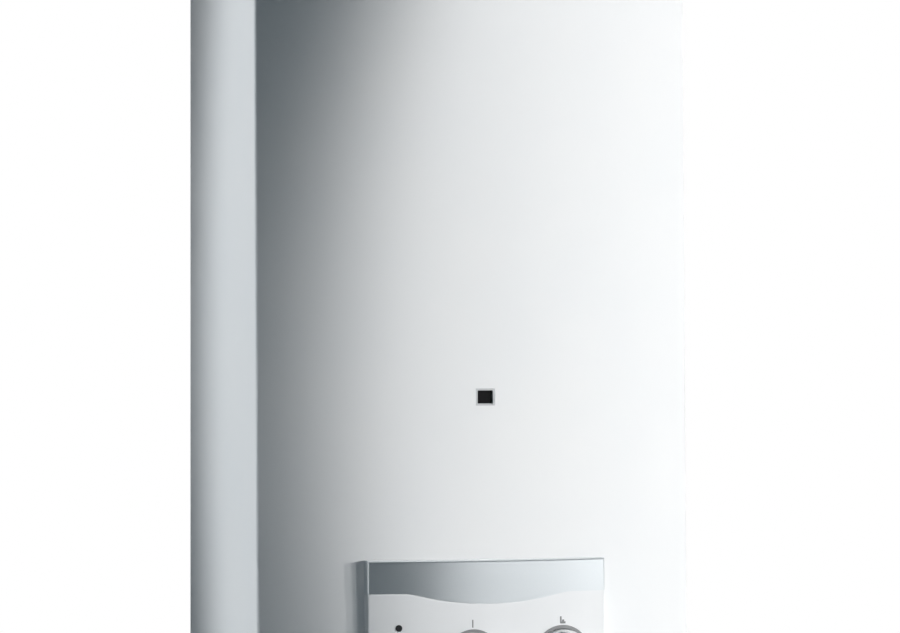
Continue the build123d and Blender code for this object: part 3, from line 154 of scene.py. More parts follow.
def ramp(material, value, stops):
    """Colours along a value, as (place, colour) stops."""
    band = node(material, "ShaderNodeValToRGB")
    elements = band.color_ramp.elements
    while len(elements) < len(stops):
        elements.new(0.5)
    for element, (where, colour) in zip(elements, stops):
        element.position = where
        element.color = (*colour, 1.0)
    join(material, value, band.inputs["Fac"])
    return band.outputs["Color"]


def paint(material, colour_output):
    shader = material.node_tree.nodes["Principled BSDF"]
    join(material, colour_output, shader.inputs["Base Color"])


def gloss(material, value_output):
    shader = material.node_tree.nodes["Principled BSDF"]
    join(material, value_output, shader.inputs["Roughness"])


def relief(material, height, distance, strength=1.0):
    """Bump from a pattern, with its depth in metres."""
    bump = node(material, "ShaderNodeBump")
    bump.inputs["Distance"].default_value = distance
    bump.inputs["Strength"].default_value = strength
    join(material, height, bump.inputs["Height"])
    shader = material.node_tree.nodes["Principled BSDF"]
    join(material, bump.outputs["Normal"], shader.inputs["Normal"])


def axis_value(material, axis):
    """One of the Object coordinates by itself."""
    coordinate = node(material, "ShaderNodeTexCoord")
    apart = node(material, "ShaderNodeSeparateXYZ")
    join(material, coordinate.outputs["Object"], apart.inputs["Vector"])
    return apart.outputs[axis]


def mottled(name, light, dark, roughness, scale, metallic=0.0, depth=0.00002, coat=0.0):
    """A finish whose colour, gloss and surface vary over a noise of the given scale."""
    spread = 0.06
    material = new_finish(name, light, roughness, metallic, coat)
    vector = place(material)
    cloud = noise(material, vector, scale)
    paint(material, ramp(material, cloud, [(0.3, dark), (0.7, light)]))
    gloss(material, between(material, cloud, roughness - spread, roughness + spread, 0.3, 0.7))
    relief(material, noise(material, vector, scale * 6, 2.0), depth)
    return material


# Finishes of this heater

def casing_enamel():
    """White baked enamel with a faint orange peel."""
    material = new_finish("white_enamel", (0.90, 0.91, 0.915), 0.45, ior=1.34)
    vector = place(material)
    cloud = noise(material, vector, 14.0, 4.0)
    paint(material, ramp(material, cloud, [(0.25, (0.885, 0.9, 0.91)), (0.75, (0.91, 0.918, 0.92))]))
    gloss(material, between(material, noise(material, vector, 60.0), 0.42, 0.49, 0.3, 0.7))
    relief(material, noise(material, vector, 900.0, 2.0), 0.000012, 0.5)
    return material


def band_silver():
    """Silver lacquer over plastic, with fine flakes."""
    material = new_finish("silver_lacquer", (0.81, 0.845, 0.862), 0.3, metallic=1.0)
    vector = place(material)
    flakes = cells_pattern(material, vector, 5200.0, output="Color")
    grey = node(material, "ShaderNodeRGBToBW")
    join(material, flakes, grey.inputs["Color"])
    shades = [(0.2, (0.795, 0.832, 0.85)), (0.8, (0.825, 0.858, 0.875))]
    paint(material, ramp(material, grey.outputs["Val"], shades))
    gloss(material, between(material, noise(material, vector, 30.0), 0.295, 0.31, 0.3, 0.7))
    return material


def moulded(name, colour, roughness, grain=1600.0, depth=0.00001):
    """A moulded plastic with a fine eroded grain."""
    material = new_finish(name, colour, roughness)
    vector = place(material)
    cloud = noise(material, vector, 22.0)
    darker = tuple(0.965 * part for part in colour)
    paint(material, ramp(material, cloud, [(0.3, darker), (0.7, colour)]))
    wear = noise(material, vector, 130.0)
    gloss(material, between(material, wear, roughness - 0.04, roughness + 0.05, 0.3, 0.7))
    relief(material, noise(material, vector, grain, 2.0), depth, 0.6)
    return material


def sight_pane():
    """The sight window's pane, opaque and near-black: painted shade for the dark chamber behind the glass."""
    material = new_finish("smoked_pane", (0.004, 0.004, 0.005), 0.06, ior=1.2)
    vector = place(material)
    gloss(material, between(material, noise(material, vector, 180.0), 0.04, 0.1, 0.3, 0.7))
    return material


def galvanised_sheet():
    """Zinc coated sheet with its spangle."""
    material = new_finish("galvanised_sheet", (0.62, 0.65, 0.67), 0.4, metallic=1.0)
    vector = place(material)
    spangle = cells_pattern(material, vector, 95.0, output="Color")
    grey = node(material, "ShaderNodeRGBToBW")
    join(material, spangle, grey.inputs["Color"])
    shades = [(0.15, (0.53, 0.56, 0.58)), (0.85, (0.7, 0.725, 0.74))]
    paint(material, ramp(material, grey.outputs["Val"], shades))
    gloss(material, between(material, grey.outputs["Val"], 0.32, 0.52))
    relief(material, noise(material, vector, 700.0, 2.0), 0.000015, 0.5)
    return material


def copper_finish(name, light, dark, roughness):
    """Drawn copper with brown tarnish."""
    material = new_finish(name, light, roughness, metallic=1.0)
    vector = place(material)
    cloud = noise(material, vector, 26.0, 6.0, 0.6)
    middle = tuple((a + b) / 2 for a, b in zip(light, dark))
    paint(material, ramp(material, cloud, [(0.3, dark), (0.52, middle), (0.72, light)]))
    gloss(material, between(material, cloud, roughness + 0.12, roughness - 0.06, 0.3, 0.7))
    relief(material, noise(material, vector, 420.0, 3.0), 0.00002, 0.5)
    return material


def turned_brass():
    material = new_finish("turned_brass", (0.80, 0.62, 0.33), 0.28, metallic=1.0)
    vector = place(material, stretch=(1.0, 1.0, 9.0))
    lines = noise(material, vector, 420.0, 2.0)
    stain = noise(material, place(material), 45.0, 4.0)
    paint(material, ramp(material, stain, [(0.3, (0.66, 0.49, 0.24)), (0.7, (0.82, 0.65, 0.36))]))
    gloss(material, between(material, lines, 0.22, 0.36, 0.3, 0.7))
    relief(material, lines, 0.00001, 0.6)
    return material


def cast_metal(name, light, dark, roughness):
    """A sand or die casting with a grainy skin."""
    material = new_finish(name, light, roughness, metallic=1.0)
    vector = place(material)
    skin = noise(material, vector, 620.0, 4.0, 0.65)
    cloud = noise(material, vector, 40.0, 4.0)
    paint(material, ramp(material, cloud, [(0.3, dark), (0.7, light)]))
    gloss(material, between(material, skin, roughness - 0.08, roughness + 0.1, 0.3, 0.7))
    relief(material, skin, 0.00006, 0.7)
    return material


def plated_screws():
    """Bright zinc plate with a faint yellow cast."""
    return mottled("zinc_plate", (0.74, 0.73, 0.68), (0.62, 0.61, 0.57), 0.3, 130.0, metallic=1.0)


def turned_steel(name, turn):
    """Turned or drawn steel, its lines running round the given axis."""
    material = new_finish(name, (0.6, 0.6, 0.61), 0.3, metallic=1.0)
    vector = place(material, stretch=turn)
    lines = noise(material, vector, 380.0, 2.0)
    paint(material, ramp(material, lines, [(0.3, (0.53, 0.53, 0.54)), (0.7, (0.66, 0.66, 0.67))]))
    gloss(material, between(material, lines, 0.24, 0.38, 0.3, 0.7))
    relief(material, lines, 0.000008, 0.6)
    return material


def burner_steel():
    """Stainless strip that heat has tinted towards the flames."""
    material = new_finish("heat_tinted_strip", (0.55, 0.54, 0.52), 0.34, metallic=1.0)
    height = axis_value(material, "Z")
    rise = between(material, height, 0.0, 1.0, 0.2, 0.2385)
    colours = [
        (0.0, (0.56, 0.56, 0.55)),
        (0.55, (0.52, 0.45, 0.3)),
        (0.78, (0.34, 0.2, 0.17)),
        (0.92, (0.17, 0.17, 0.26)),
        (1.0, (0.3, 0.29, 0.29)),
    ]
    paint(material, ramp(material, rise, colours))
    vector = place(material, stretch=(1.0, 8.0, 1.0))
    lines = noise(material, vector, 260.0, 3.0)
    gloss(material, between(material, lines, 0.28, 0.46, 0.3, 0.7))
    relief(material, lines, 0.00001, 0.5)
    return material


def glazed_insulator():
    """Glazed white ceramic."""
    light, dark = (0.9, 0.88, 0.82), (0.84, 0.81, 0.74)
    return mottled("glazed_insulator", light, dark, 0.14, 150.0, depth=0.000008, coat=0.5)


def board_laminate():
    """Green laminate with a lattice of tracks."""
    material = new_finish("board_laminate", (0.03, 0.2, 0.1), 0.38, coat=0.3)
    vector = place(material, stretch=(1.0, 0.001, 1.0))
    tracks = cells_pattern(material, vector, 260.0, feature="DISTANCE_TO_EDGE")
    paint(material, ramp(material, tracks, [(0.04, (0.06, 0.33, 0.16)), (0.09, (0.02, 0.17, 0.08))]))
    relief(material, tracks, 0.00003, 0.4)
    return material


def cell_jacket():
    """A cell's printed steel jacket, dark with a copper-coloured end band."""
    material = new_finish("cell_jacket", (0.05, 0.055, 0.07), 0.24, metallic=0.6, coat=0.4)
    depth = between(material, axis_value(material, "Y"), 0.0, 1.0, -0.2, -0.05)
    bands = node(material, "ShaderNodeTexWave", wave_type="BANDS", bands_direction="Y")
    bands.inputs["Scale"].default_value = 4.9
    bands.inputs["Distortion"].default_value = 0.0
    join(material, place(material), bands.inputs["Vector"])
    shades = [(0.86, (0.05, 0.055, 0.07)), (0.9, (0.62, 0.36, 0.18))]
    paint(material, ramp(material, bands.outputs["Fac"], shades))
    gloss(material, between(material, depth, 0.22, 0.3))
    return material


def rubber_skin(name, colour):
    return mottled(name, colour, tuple(0.8 * part for part in colour), 0.55, 300.0, depth=0.00002)


finishes = {
    "casing_enamel": casing_enamel(),
    "sight_frame_plastic": moulded("frame_grey", (0.6, 0.615, 0.63), 0.36),
    "sight_glass": sight_pane(),
    "fascia_plastic": moulded("fascia_white", (0.86, 0.875, 0.885), 0.33),
    "band_silver": band_silver(),
    "zinc_fixings": plated_screws(),
    "ring_grey": moulded("ring_grey", (0.27, 0.275, 0.28), 0.4),
    "lens_black": moulded("lens_black", (0.006, 0.006, 0.008), 0.3),
    "knob_plastic": moulded("knob_white", (0.87, 0.88, 0.885), 0.28),
    "spindle_steel": turned_steel("turned_spindle", (1.0, 9.0, 1.0)),
    "zinc_sheet": galvanised_sheet(),
    "brass_fittings": turned_brass(),
    "valve_aluminium": cast_metal("cast_aluminium", (0.67, 0.68, 0.69), (0.55, 0.56, 0.57), 0.46),
    "spring_steel": turned_steel("spring_wire", (9.0, 1.0, 1.0)),
    "valve_brass": cast_metal("cast_brass", (0.7, 0.53, 0.28), (0.55, 0.39, 0.19), 0.42),
    "diaphragm_rubber": rubber_skin("diaphragm_rubber", (0.03, 0.03, 0.032)),
    "filter_plastic": moulded("strainer_plastic", (0.8, 0.79, 0.72), 0.45),
    "copper": copper_finish("drawn_copper", (0.85, 0.47, 0.32), (0.5, 0.24, 0.15), 0.28),
    "copper_sheet": copper_finish("tinned_copper", (0.7, 0.43, 0.31), (0.4, 0.25, 0.19), 0.4),
    "zinc_pipe": mottled("gas_pipe_zinc", (0.6, 0.62, 0.64), (0.48, 0.5, 0.52), 0.38, 90.0, metallic=1.0),
    "burner_steel": burner_steel(),
    "electrode_ceramic": glazed_insulator(),
    "sensor_steel": mottled(
        "nickel_plate", (0.68, 0.67, 0.65), (0.56, 0.55, 0.53), 0.26, 160.0, metallic=1.0
    ),
    "box_plastic": moulded("box_plastic", (0.045, 0.048, 0.055), 0.42, grain=1100.0, depth=0.00003),
    "board_green": board_laminate(),
    "cell_jacket": cell_jacket(),
    "lead_rubber": rubber_skin("lead_silicone", (0.34, 0.03, 0.02)),
}
mark_ink = moulded("mark_ink", (0.24, 0.245, 0.25), 0.45)

node_slots = {row["node"]: row["material_slot"] for row in frame["record"]["subparts"]}
for name, cad_object in frame["nodes"].items():
    cad_object.data.materials.clear()
    cad_object.data.materials.append(finishes[node_slots[name]])

# The gas valve's spring, which gives by the rod's 4 mm travel towards its fixed end, gets a mesh of its own
spring = frame["nodes"]["valve_spring"]
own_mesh(spring)


# Mesh makers

def mesh_object(name, vertices, faces):
    mesh = bpy.data.meshes.new(name)
    mesh.from_pydata([Vector(v) for v in vertices], [], faces)
    mesh.update()
    made = bpy.data.objects.new(name, mesh)
    bpy.context.scene.collection.objects.link(made)
    return made


def lathed(name, profile, segments=72):
    """A closed profile of (radius, height) in millimetres, turned about Z."""
    count = len(profile)
    vertices = []
    for step in range(segments):
        angle = 2 * math.pi * step / segments
        for radius, height in profile:
            vertices.append((radius * math.cos(angle) * mm, radius * math.sin(angle) * mm, height * mm))
    faces = []
    for step in range(segments):
        after = (step + 1) % segments
        for index in range(count):
            following = (index + 1) % count
            faces.append((
                step * count + index,
                after * count + index,
                after * count + following,
                step * count + following,
            ))
    made = mesh_object(name, vertices, faces)
    weld(made.data)
    return made


def weld(mesh):
    """Merge doubles and turn every face outwards."""
    work = bmesh.new()
    work.from_mesh(mesh)
    bmesh.ops.remove_doubles(work, verts=work.verts, dist=1e-7)
    bmesh.ops.dissolve_degenerate(work, dist=1e-8, edges=work.edges)
    bmesh.ops.recalc_face_normals(work, faces=work.faces)
    work.to_mesh(mesh)
    work.free()


def prism(name, corners, low, high):
    """An upright prism over a level outline, in millimetres."""
    count = len(corners)
    vertices = [(x * mm, y * mm, low * mm) for x, y in corners]
    vertices += [(x * mm, y * mm, high * mm) for x, y in corners]
    faces = [tuple(reversed(range(count))), tuple(range(count, 2 * count))]
    for index in range(count):
        after = (index + 1) % count
        faces.append((index, after, count + after, count + index))
    return mesh_object(name, vertices, faces)


def combine(base, other, operation):
    """One mesh cut from, joined with or kept inside another."""
    modifier = base.modifiers.new("combine", "BOOLEAN")
    modifier.operation = operation
    modifier.solver = "EXACT"
    modifier.object = other
    bake(base)
    bpy.data.objects.remove(other)
    return base


def bake(made):
    """Apply an object's modifiers into its mesh."""
    graph = bpy.context.evaluated_depsgraph_get()
    graph.update()
    mesh = bpy.data.meshes.new_from_object(made.evaluated_get(graph), depsgraph=graph)
    made.modifiers.clear()
    made.data = mesh


def smooth(made, angle=35.0):
    """Shade smooth, with edges sharper than the angle kept."""
    mesh = made.data
    mesh.polygons.foreach_set("use_smooth", [True] * len(mesh.polygons))
    mesh.set_sharp_from_angle(angle=math.radians(angle))
    mesh.update()


def hexagon_corners(flats):
    """A hexagon's corners from its width over flats."""
    reach = flats / math.sqrt(3)
    turns = [math.radians(60 * k) for k in range(6)]
    return [(reach * math.cos(turn), reach * math.sin(turn)) for turn in turns]


def chamfered_nut(name, flats, height, bore, ends=(True, True)):
    """A hexagon with turned chamfers, a bore and countersunk mouths, standing on z = 0."""
    nut = prism(name, hexagon_corners(flats), 0, height)
    corner = flats / math.sqrt(3)
    drop = (corner - flats / 2 + 0.35) * math.tan(math.radians(30))
    inside = flats / 2 - 0.35
    profile = [(0, 0)]
    profile += [(inside, 0), (corner + 0.2, drop)] if ends[0] else [(corner + 0.2, 0)]
    profile += [(corner + 0.2, height - drop), (inside, height)] if ends[1] else [(corner + 0.2, height)]
    profile += [(0, height)]
    nut = combine(nut, lathed(name + "_turned", profile, 96), "INTERSECT")
    mouth = 0.8
    wide = bore + mouth + 1
    hole = [(0, -1), (wide, -1), (bore, mouth), (bore, height - mouth), (wide, height + 1), (0, height + 1)]
    nut = combine(nut, lathed(name + "_hole", hole, 72), "DIFFERENCE")
    smooth(nut, 25)
    return nut


def screw(name, head_radius, head_height, shank_radius, length, recess):
    """A screw with its head's outer face at z = 0 and its shank downwards."""
    crown = head_height * 0.35
    profile = [(0, 0), (head_radius * 0.55, -0.02 * head_height), (head_radius * 0.85, -crown * 0.45)]
    profile += [(head_radius, -crown), (head_radius, -head_height)]
    if length > head_height:
        profile += [(shank_radius, -head_height), (shank_radius, -length + 0.5)]
        profile += [(shank_radius * 0.7, -length), (0, -length)]
    else:
        profile += [(0, -head_height)]
    made = lathed(name, profile, 40)
    depth = head_height * 0.6
    if recess == "cross":
        long, thin = head_radius * 0.62, head_radius * 0.13
        for wide, tall in ((long, thin), (thin, long)):
            corners = [(-wide, -tall), (wide, -tall), (wide, tall), (-wide, tall)]
            made = combine(made, prism(name + "_recess", corners, -depth, 1), "DIFFERENCE")
    elif recess == "hexagon":
        corners = hexagon_corners(head_radius * 0.95)
        made = combine(made, prism(name + "_recess", corners, -depth, 1), "DIFFERENCE")
    smooth(made, 30)
    return made


def solids_of(name):
    """The boxes of a node's separate solids, lowest and highest corner of each, in millimetres."""
    mesh = frame["nodes"][name].data
    owner = {}

    def find(key):
        while owner[key] != key:
            owner[key] = owner[owner[key]]
            key = owner[key]
        return key

    keys = [tuple(round(c * 1e5) for c in v.co) for v in mesh.vertices]
    for key in keys:
        owner.setdefault(key, key)
    for polygon in mesh.polygons:
        first = find(keys[polygon.vertices[0]])
        for index in polygon.vertices[1:]:
            owner[find(keys[index])] = first
    boxes = {}
    for key, vertex in zip(keys, mesh.vertices):
        box = boxes.setdefault(find(key), [[1e9] * 3, [-1e9] * 3])
        for axis in range(3):
            box[0][axis] = min(box[0][axis], vertex.co[axis] / mm)
            box[1][axis] = max(box[1][axis], vertex.co[axis] / mm)
    return [(Vector(low), Vector(high)) for low, high in boxes.values()]


# Geometry node trees

def new_tree(name, inputs):
    """A node group with a geometry input, named inputs and a geometry output."""
    tree = bpy.data.node_groups.new(name, "GeometryNodeTree")
    tree.interface.new_socket("Geometry", in_out="INPUT", socket_type="NodeSocketGeometry")
    for label, kind in inputs:
        tree.interface.new_socket(label, in_out="INPUT", socket_type="NodeSocket" + kind)
    tree.interface.new_socket("Geometry", in_out="OUTPUT", socket_type="NodeSocketGeometry")
    return tree, tree.nodes.new("NodeGroupInput"), tree.nodes.new("NodeGroupOutput")


def finish_tree(tree, group_in, group_out, geometry):
    """Realize what the tree made, give it its material and hand it on."""
    realize = tree.nodes.new("GeometryNodeRealizeInstances")
    material = tree.nodes.new("GeometryNodeSetMaterial")
    tree.links.new(geometry, realize.inputs["Geometry"])
    tree.links.new(realize.outputs["Geometry"], material.inputs["Geometry"])
    tree.links.new(group_in.outputs["Finish"], material.inputs["Material"])
    tree.links.new(material.outputs["Geometry"], group_out.inputs["Geometry"])


def copies_tree():
    """Copies of one piece at each point, turned to face as the point's own direction says."""
    inputs = [("Piece", "Object"), ("Finish", "Material")]
    tree, group_in, group_out = new_tree("copies_at_places", inputs)
    info = tree.nodes.new("GeometryNodeObjectInfo")
    facing = tree.nodes.new("GeometryNodeInputNamedAttribute")
    facing.data_type = "FLOAT_VECTOR"
    facing.inputs["Name"].default_value = "facing"
    align = tree.nodes.new("FunctionNodeAlignRotationToVector")
    align.axis = "Z"
    copies = tree.nodes.new("GeometryNodeInstanceOnPoints")
    tree.links.new(group_in.outputs["Piece"], info.inputs["Object"])
    tree.links.new(facing.outputs["Attribute"], align.inputs["Vector"])
    tree.links.new(group_in.outputs["Geometry"], copies.inputs["Points"])
    tree.links.new(info.outputs["Geometry"], copies.inputs["Instance"])
    tree.links.new(align.outputs["Rotation"], copies.inputs["Rotation"])
    finish_tree(tree, group_in, group_out, copies.outputs["Instances"])
    return tree


def thread_tree():
    """A pipe thread's ridge, wound round Z from the input geometry's foot upwards."""
    inputs = [(label, "Float") for label in ("Crest radius", "Pitch", "Turns", "Depth")]
    inputs.append(("Finish", "Material"))
    tree, group_in, group_out = new_tree("pipe_thread", inputs)
    height = tree.nodes.new("ShaderNodeMath")
    height.operation = "MULTIPLY"
    tree.links.new(group_in.outputs["Pitch"], height.inputs[0])
    tree.links.new(group_in.outputs["Turns"], height.inputs[1])
    middle = tree.nodes.new("ShaderNodeMath")
    middle.operation = "SUBTRACT"
    tree.links.new(group_in.outputs["Crest radius"], middle.inputs[0])
    tree.links.new(group_in.outputs["Depth"], middle.inputs[1])
    spiral = tree.nodes.new("GeometryNodeCurveSpiral")
    spiral.inputs["Resolution"].default_value = 48
    tree.links.new(group_in.outputs["Turns"], spiral.inputs["Rotations"])
    tree.links.new(middle.outputs[0], spiral.inputs["Start Radius"])
    tree.links.new(middle.outputs[0], spiral.inputs["End Radius"])
    tree.links.new(height.outputs[0], spiral.inputs["Height"])
    upright = tree.nodes.new("GeometryNodeSetCurveNormal")
    upright.mode = "Z_UP"
    tree.links.new(spiral.outputs["Curve"], upright.inputs["Curve"])
    profile = tree.nodes.new("GeometryNodeCurvePrimitiveCircle")
    profile.inputs["Resolution"].default_value = 4
    tree.links.new(group_in.outputs["Depth"], profile.inputs["Radius"])
    ridge = tree.nodes.new("GeometryNodeCurveToMesh")
    ridge.inputs["Fill Caps"].default_value = True
    tree.links.new(upright.outputs["Curve"], ridge.inputs["Curve"])
    tree.links.new(profile.outputs["Curve"], ridge.inputs["Profile Curve"])
    finish_tree(tree, group_in, group_out, ridge.outputs["Mesh"])
    return tree


def grown(name, base, tree, values):
    """The plain mesh that a tree makes on a base object, with the tree's inputs set by their names."""
    modifier = base.modifiers.new("grow", "NODES")
    modifier.node_group = tree
    for item in tree.interface.items_tree:
        if item.in_out == "INPUT" and item.name in values:
            modifier[item.identifier] = values[item.name]
    base.update_tag()
    bake(base)
    base.name = name
    base.data.name = name
    return base


copies = copies_tree()
pipe_thread = thread_tree()


def copies_of(name, template, places, finish):
    """Copies of a template at (point, direction) places in millimetres, as one mesh."""
    base = mesh_object(name, [Vector(point) * mm for point, _ in places], [])
    facing = base.data.attributes.new("facing", "FLOAT_VECTOR", "POINT")
    for item, (_, direction) in zip(facing.data, places):
        item.vector = direction
    made = grown(name, base, copies, {"Piece": template, "Finish": finish})
    bpy.data.objects.remove(template)
    smooth(made, 30)
    return made


def dress(made, node_name, body="heater"):
    """Put a finished piece in a node's stead."""
    if not made.data.materials:
        made.data.materials.append(finishes[node_slots[node_name]])
    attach(made, body)
    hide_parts(node_name)


# Fittings, nuts and screws

def threaded_fitting(node_name):
    """A fitting's turned body with its hexagon collar and a real thread on its stub."""
    low, high = solids_of(node_name)[0]
    x, y = (low.x + high.x) / 2, (low.y + high.y) / 2
    chamfer = 0.8
    thread_top = -0.5
    root = thread_radius - thread_depth
    neck = thread_radius - 0.2
    spigot = 9.0
    collar_low, collar_high = 8.0, 16.0
    profile = [
        (fitting_bore + chamfer, low.z),
        (root - 0.5, low.z),
        (root, low.z + chamfer),
        (root, thread_top),
        (neck, thread_top),
        (neck, collar_low),
        (spigot, collar_low),
        (spigot, high.z),
        (fitting_bore, high.z),
        (fitting_bore, low.z + chamfer),
    ]
    body = lathed(node_name + "_turned", profile)
    collar = chamfered_nut(node_name + "_collar", collar_flats, collar_high - collar_low, spigot - 0.5)
    collar.data.transform(shift(0, 0, collar_low))
    turns = (thread_top - low.z - 2.4) / thread_pitch
    ridge = mesh_object(node_name + "_ridge", [(0, 0, 0)], [])
    values = {
        "Crest radius": thread_radius * mm - 0.0001,
        "Pitch": thread_pitch * mm,
        "Turns": turns,
        "Depth": thread_depth * mm,
        "Finish": finishes["brass_fittings"],
    }
    ridge = grown(node_name + "_ridge", ridge, pipe_thread, values)
    ridge.data.transform(shift(0, 0, low.z + 1.2))
    made = merged(node_name + "_made", [body, collar, ridge])
    made.data.transform(shift(x, y, 0))
    smooth(made, 30)
    dress(made, node_name)


def shift(x, y, z):
    """A move in millimetres, as a matrix."""
    return Matrix.Translation(Vector((x, y, z)) * mm)


def merged(name, pieces):
    """Several meshes as one object, each closed by itself."""
    work = bmesh.new()
    for piece in pieces:
        work.from_mesh(piece.data)
    mesh = bpy.data.meshes.new(name)
    work.to_mesh(mesh)
    work.free()
    for piece in pieces:
        bpy.data.objects.remove(piece)
    made = bpy.data.objects.new(name, mesh)
    bpy.context.scene.collection.objects.link(made)
    return made


for fitting in ("hot_outlet_fitting", "gas_inlet_fitting", "cold_inlet_fitting"):
    threaded_fitting(fitting)


def nuts(node_name, name, flats, bore):
    """Chamfered nuts for every solid of a node."""
    boxes = solids_of(node_name)
    height = boxes[0][1].z - boxes[0][0].z
    places = [(((low.x + high.x) / 2, (low.y + high.y) / 2, low.z), (0, 0, 1)) for low, high in boxes]
    template = chamfered_nut(name + "_template", flats, height, bore)
    dress(copies_of(name, template, places, finishes[node_slots[node_name]]), node_name)


nuts("locknuts", "chamfered_locknuts", locknut_flats, thread_radius - 0.15)
nuts("pipe_nuts", "chamfered_union_nuts", union_flats, 7.05)


def screws(node_name, name, axis, outward, sizes, recess, body="heater"):
    """Screws for every solid of a node, their heads where the solids' outer ends are."""
    boxes = solids_of(node_name)
    places = []
    for low, high in boxes:
        point = (low + high) / 2
        side = outward or math.copysign(1, point[axis])
        point[axis] = high[axis] if side > 0 else low[axis]
        direction = [0, 0, 0]
        direction[axis] = side
        places.append((point, direction))
    length = boxes[0][1][axis] - boxes[0][0][axis]
    head_radius, head_height, shank_radius = sizes
    template = screw(name + "_template", head_radius, head_height, shank_radius, length, recess)
    dress(copies_of(name, template, places, finishes["zinc_fixings"]), node_name, body)


screws("casing_screws", "crossed_casing_screws", 0, 0, (4.2, 2.4, 2.0), "cross")
screws("bracket_screws", "crossed_bracket_screws", 1, -1, (4.5, 3.0, 0.0), "cross")
screws("clamp_screws", "socket_clamp_screws", 0, -1, (3.0, 3.0, 1.6), "hexagon")
screws("fascia_screws", "crossed_fascia_screws", 1, 1, (3.2, 2.2, 1.45), "cross", "casing")


# Printed marks

def fascia_y(x, z):
    """The depth of the fascia's face, in millimetres."""
    lean = casing_lean * z / casing_height
    return lean - casing_depth + bow_radius - math.sqrt((bow_radius + panel_rise) ** 2 - x ** 2)


def printed(name, outlines):
    """Ink on the fascia, from outlines of (x, z) in millimetres."""
    above, below = 0.06, -0.2
    vertices, faces = [], []
    for outline in outlines:
        start = len(vertices)
        count = len(outline)
        for lift in (above, below):
            vertices += [(x * mm, (fascia_y(x, z) - lift) * mm, z * mm) for x, z in outline]
        faces.append(tuple(start + k for k in range(count)))
        faces.append(tuple(start + count + k for k in reversed(range(count))))
        for k in range(count):
            after = (k + 1) % count
            faces.append((start + k, start + count + k, start + count + after, start + after))
    made = mesh_object(name, vertices, faces)
    weld(made.data)
    made.data.materials.append(mark_ink)
    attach(made, "casing")


def stroke(x0, z0, x1, z1, width):
    """A straight printed line as an outline."""
    length = math.hypot(x1 - x0, z1 - z0)
    across = (-(z1 - z0) / length * width / 2, (x1 - x0) / length * width / 2)
    return [
        (x0 + across[0], z0 + across[1]),
        (x1 + across[0], z1 + across[1]),
        (x1 - across[0], z1 - across[1]),
        (x0 - across[0], z0 - across[1]),
    ]


def dial_stroke(dial_x, angle, ring_radius):
    """A printed line outside a dial's ring, its angle clockwise from the top."""
    turn = math.radians(angle)
    inner, outer = ring_radius + 1.2, ring_radius + 3.4
    start = (dial_x + inner * math.sin(turn), dial_height + inner * math.cos(turn))
    end = (dial_x + outer * math.sin(turn), dial_height + outer * math.cos(turn))
    return stroke(*start, *end, 0.9)


# Above the power dial one upright line, above the temperature dial a small flag of three
marks = [
    stroke(-12.6, 77.6, -12.6, 83.0, 0.9),
    stroke(51.3, 79.2, 51.3, 84.0, 1.2),
    stroke(51.3, 79.8, 54.8, 79.8, 1.4),
    stroke(53.0, 81.8, 53.0, 79.4, 1.6),
]
marks += [dial_stroke(power_dial_x, angle, power_ring_radius) for angle in (90, 180)]
marks += [dial_stroke(temperature_dial_x, angle, temperature_ring_radius) for angle in (-135, -112, 112, 135)]
printed("fascia_marks", marks)


# Studio

def stage_mesh(name, vertices, faces, material):
    made = mesh_object(name, vertices, faces)
    made.data.materials.append(material)


def seen_share(tree):
    """1 for what the camera sees, straight or through glass, and 0 for what only lights."""
    rays = tree.nodes.new("ShaderNodeLightPath")
    seen = tree.nodes.new("ShaderNodeMath")
    seen.operation = "MAXIMUM"
    tree.links.new(rays.outputs["Is Camera Ray"], seen.inputs[0])
    tree.links.new(rays.outputs["Is Transmission Ray"], seen.inputs[1])
    return rays, seen.outputs[0]


def floor_material():
    """Pale floor that takes the heater's shadow, and is plain white far from it."""
    material = new_finish("pale_floor", (0.93, 0.93, 0.93), 0.7)
    vector = place(material)
    cloud = noise(material, vector, 3.0)
    paint(material, ramp(material, cloud, [(0.3, (0.92, 0.92, 0.92)), (0.7, (0.94, 0.94, 0.94))]))
    tree = material.node_tree
    reach = tree.nodes.new("ShaderNodeVectorMath")
    reach.operation = "LENGTH"
    tree.links.new(vector, reach.inputs[0])
    far = between(material, reach.outputs["Value"], 0.62, 1.0, 0.2, 1.15)
    rays, seen = seen_share(tree)
    share = tree.nodes.new("ShaderNodeMath")
    share.operation = "MULTIPLY"
    tree.links.new(far, share.inputs[0])
    tree.links.new(seen, share.inputs[1])
    white = tree.nodes.new("ShaderNodeEmission")
    white.inputs["Color"].default_value = (1.0, 1.0, 1.0, 1.0)
    mix = tree.nodes.new("ShaderNodeMixShader")
    shader = next(n for n in tree.nodes if n.type == "BSDF_PRINCIPLED")
    out = next(n for n in tree.nodes if n.type == "OUTPUT_MATERIAL")
    tree.links.new(share.outputs[0], mix.inputs[0])
    tree.links.new(shader.outputs[0], mix.inputs[1])
    tree.links.new(white.outputs[0], mix.inputs[2])
    tree.links.new(mix.outputs[0], out.inputs["Surface"])
    return material


floor_z = cad_box[0].z - 0.0005
floor_reach = 9
corners = [(-1, -1), (1, -1), (1, 1), (-1, 1)]
floor_corners = [(x * floor_reach, y * floor_reach, floor_z) for x, y in corners]
stage_mesh("pale_floor", floor_corners, [(0, 1, 2, 3)], floor_material())


def hang(light, position, target, power):
    """Put a light in the studio, turned to its target and out of the camera's sight."""
    light.energy = power
    lamp = bpy.data.objects.new(light.name, light)
    lamp.location = position
    lamp.rotation_mode = "QUATERNION"
    lamp.rotation_quaternion = (Vector(target) - Vector(position)).to_track_quat("-Z", "Y")
    lamp.visible_camera = False
    bpy.context.scene.collection.objects.link(lamp)
    return lamp


def softbox(name, position, target, size, power):
    light = bpy.data.lights.new(name, "AREA")
    light.shape = "RECTANGLE"
    light.size, light.size_y = size
    return hang(light, position, target, power)


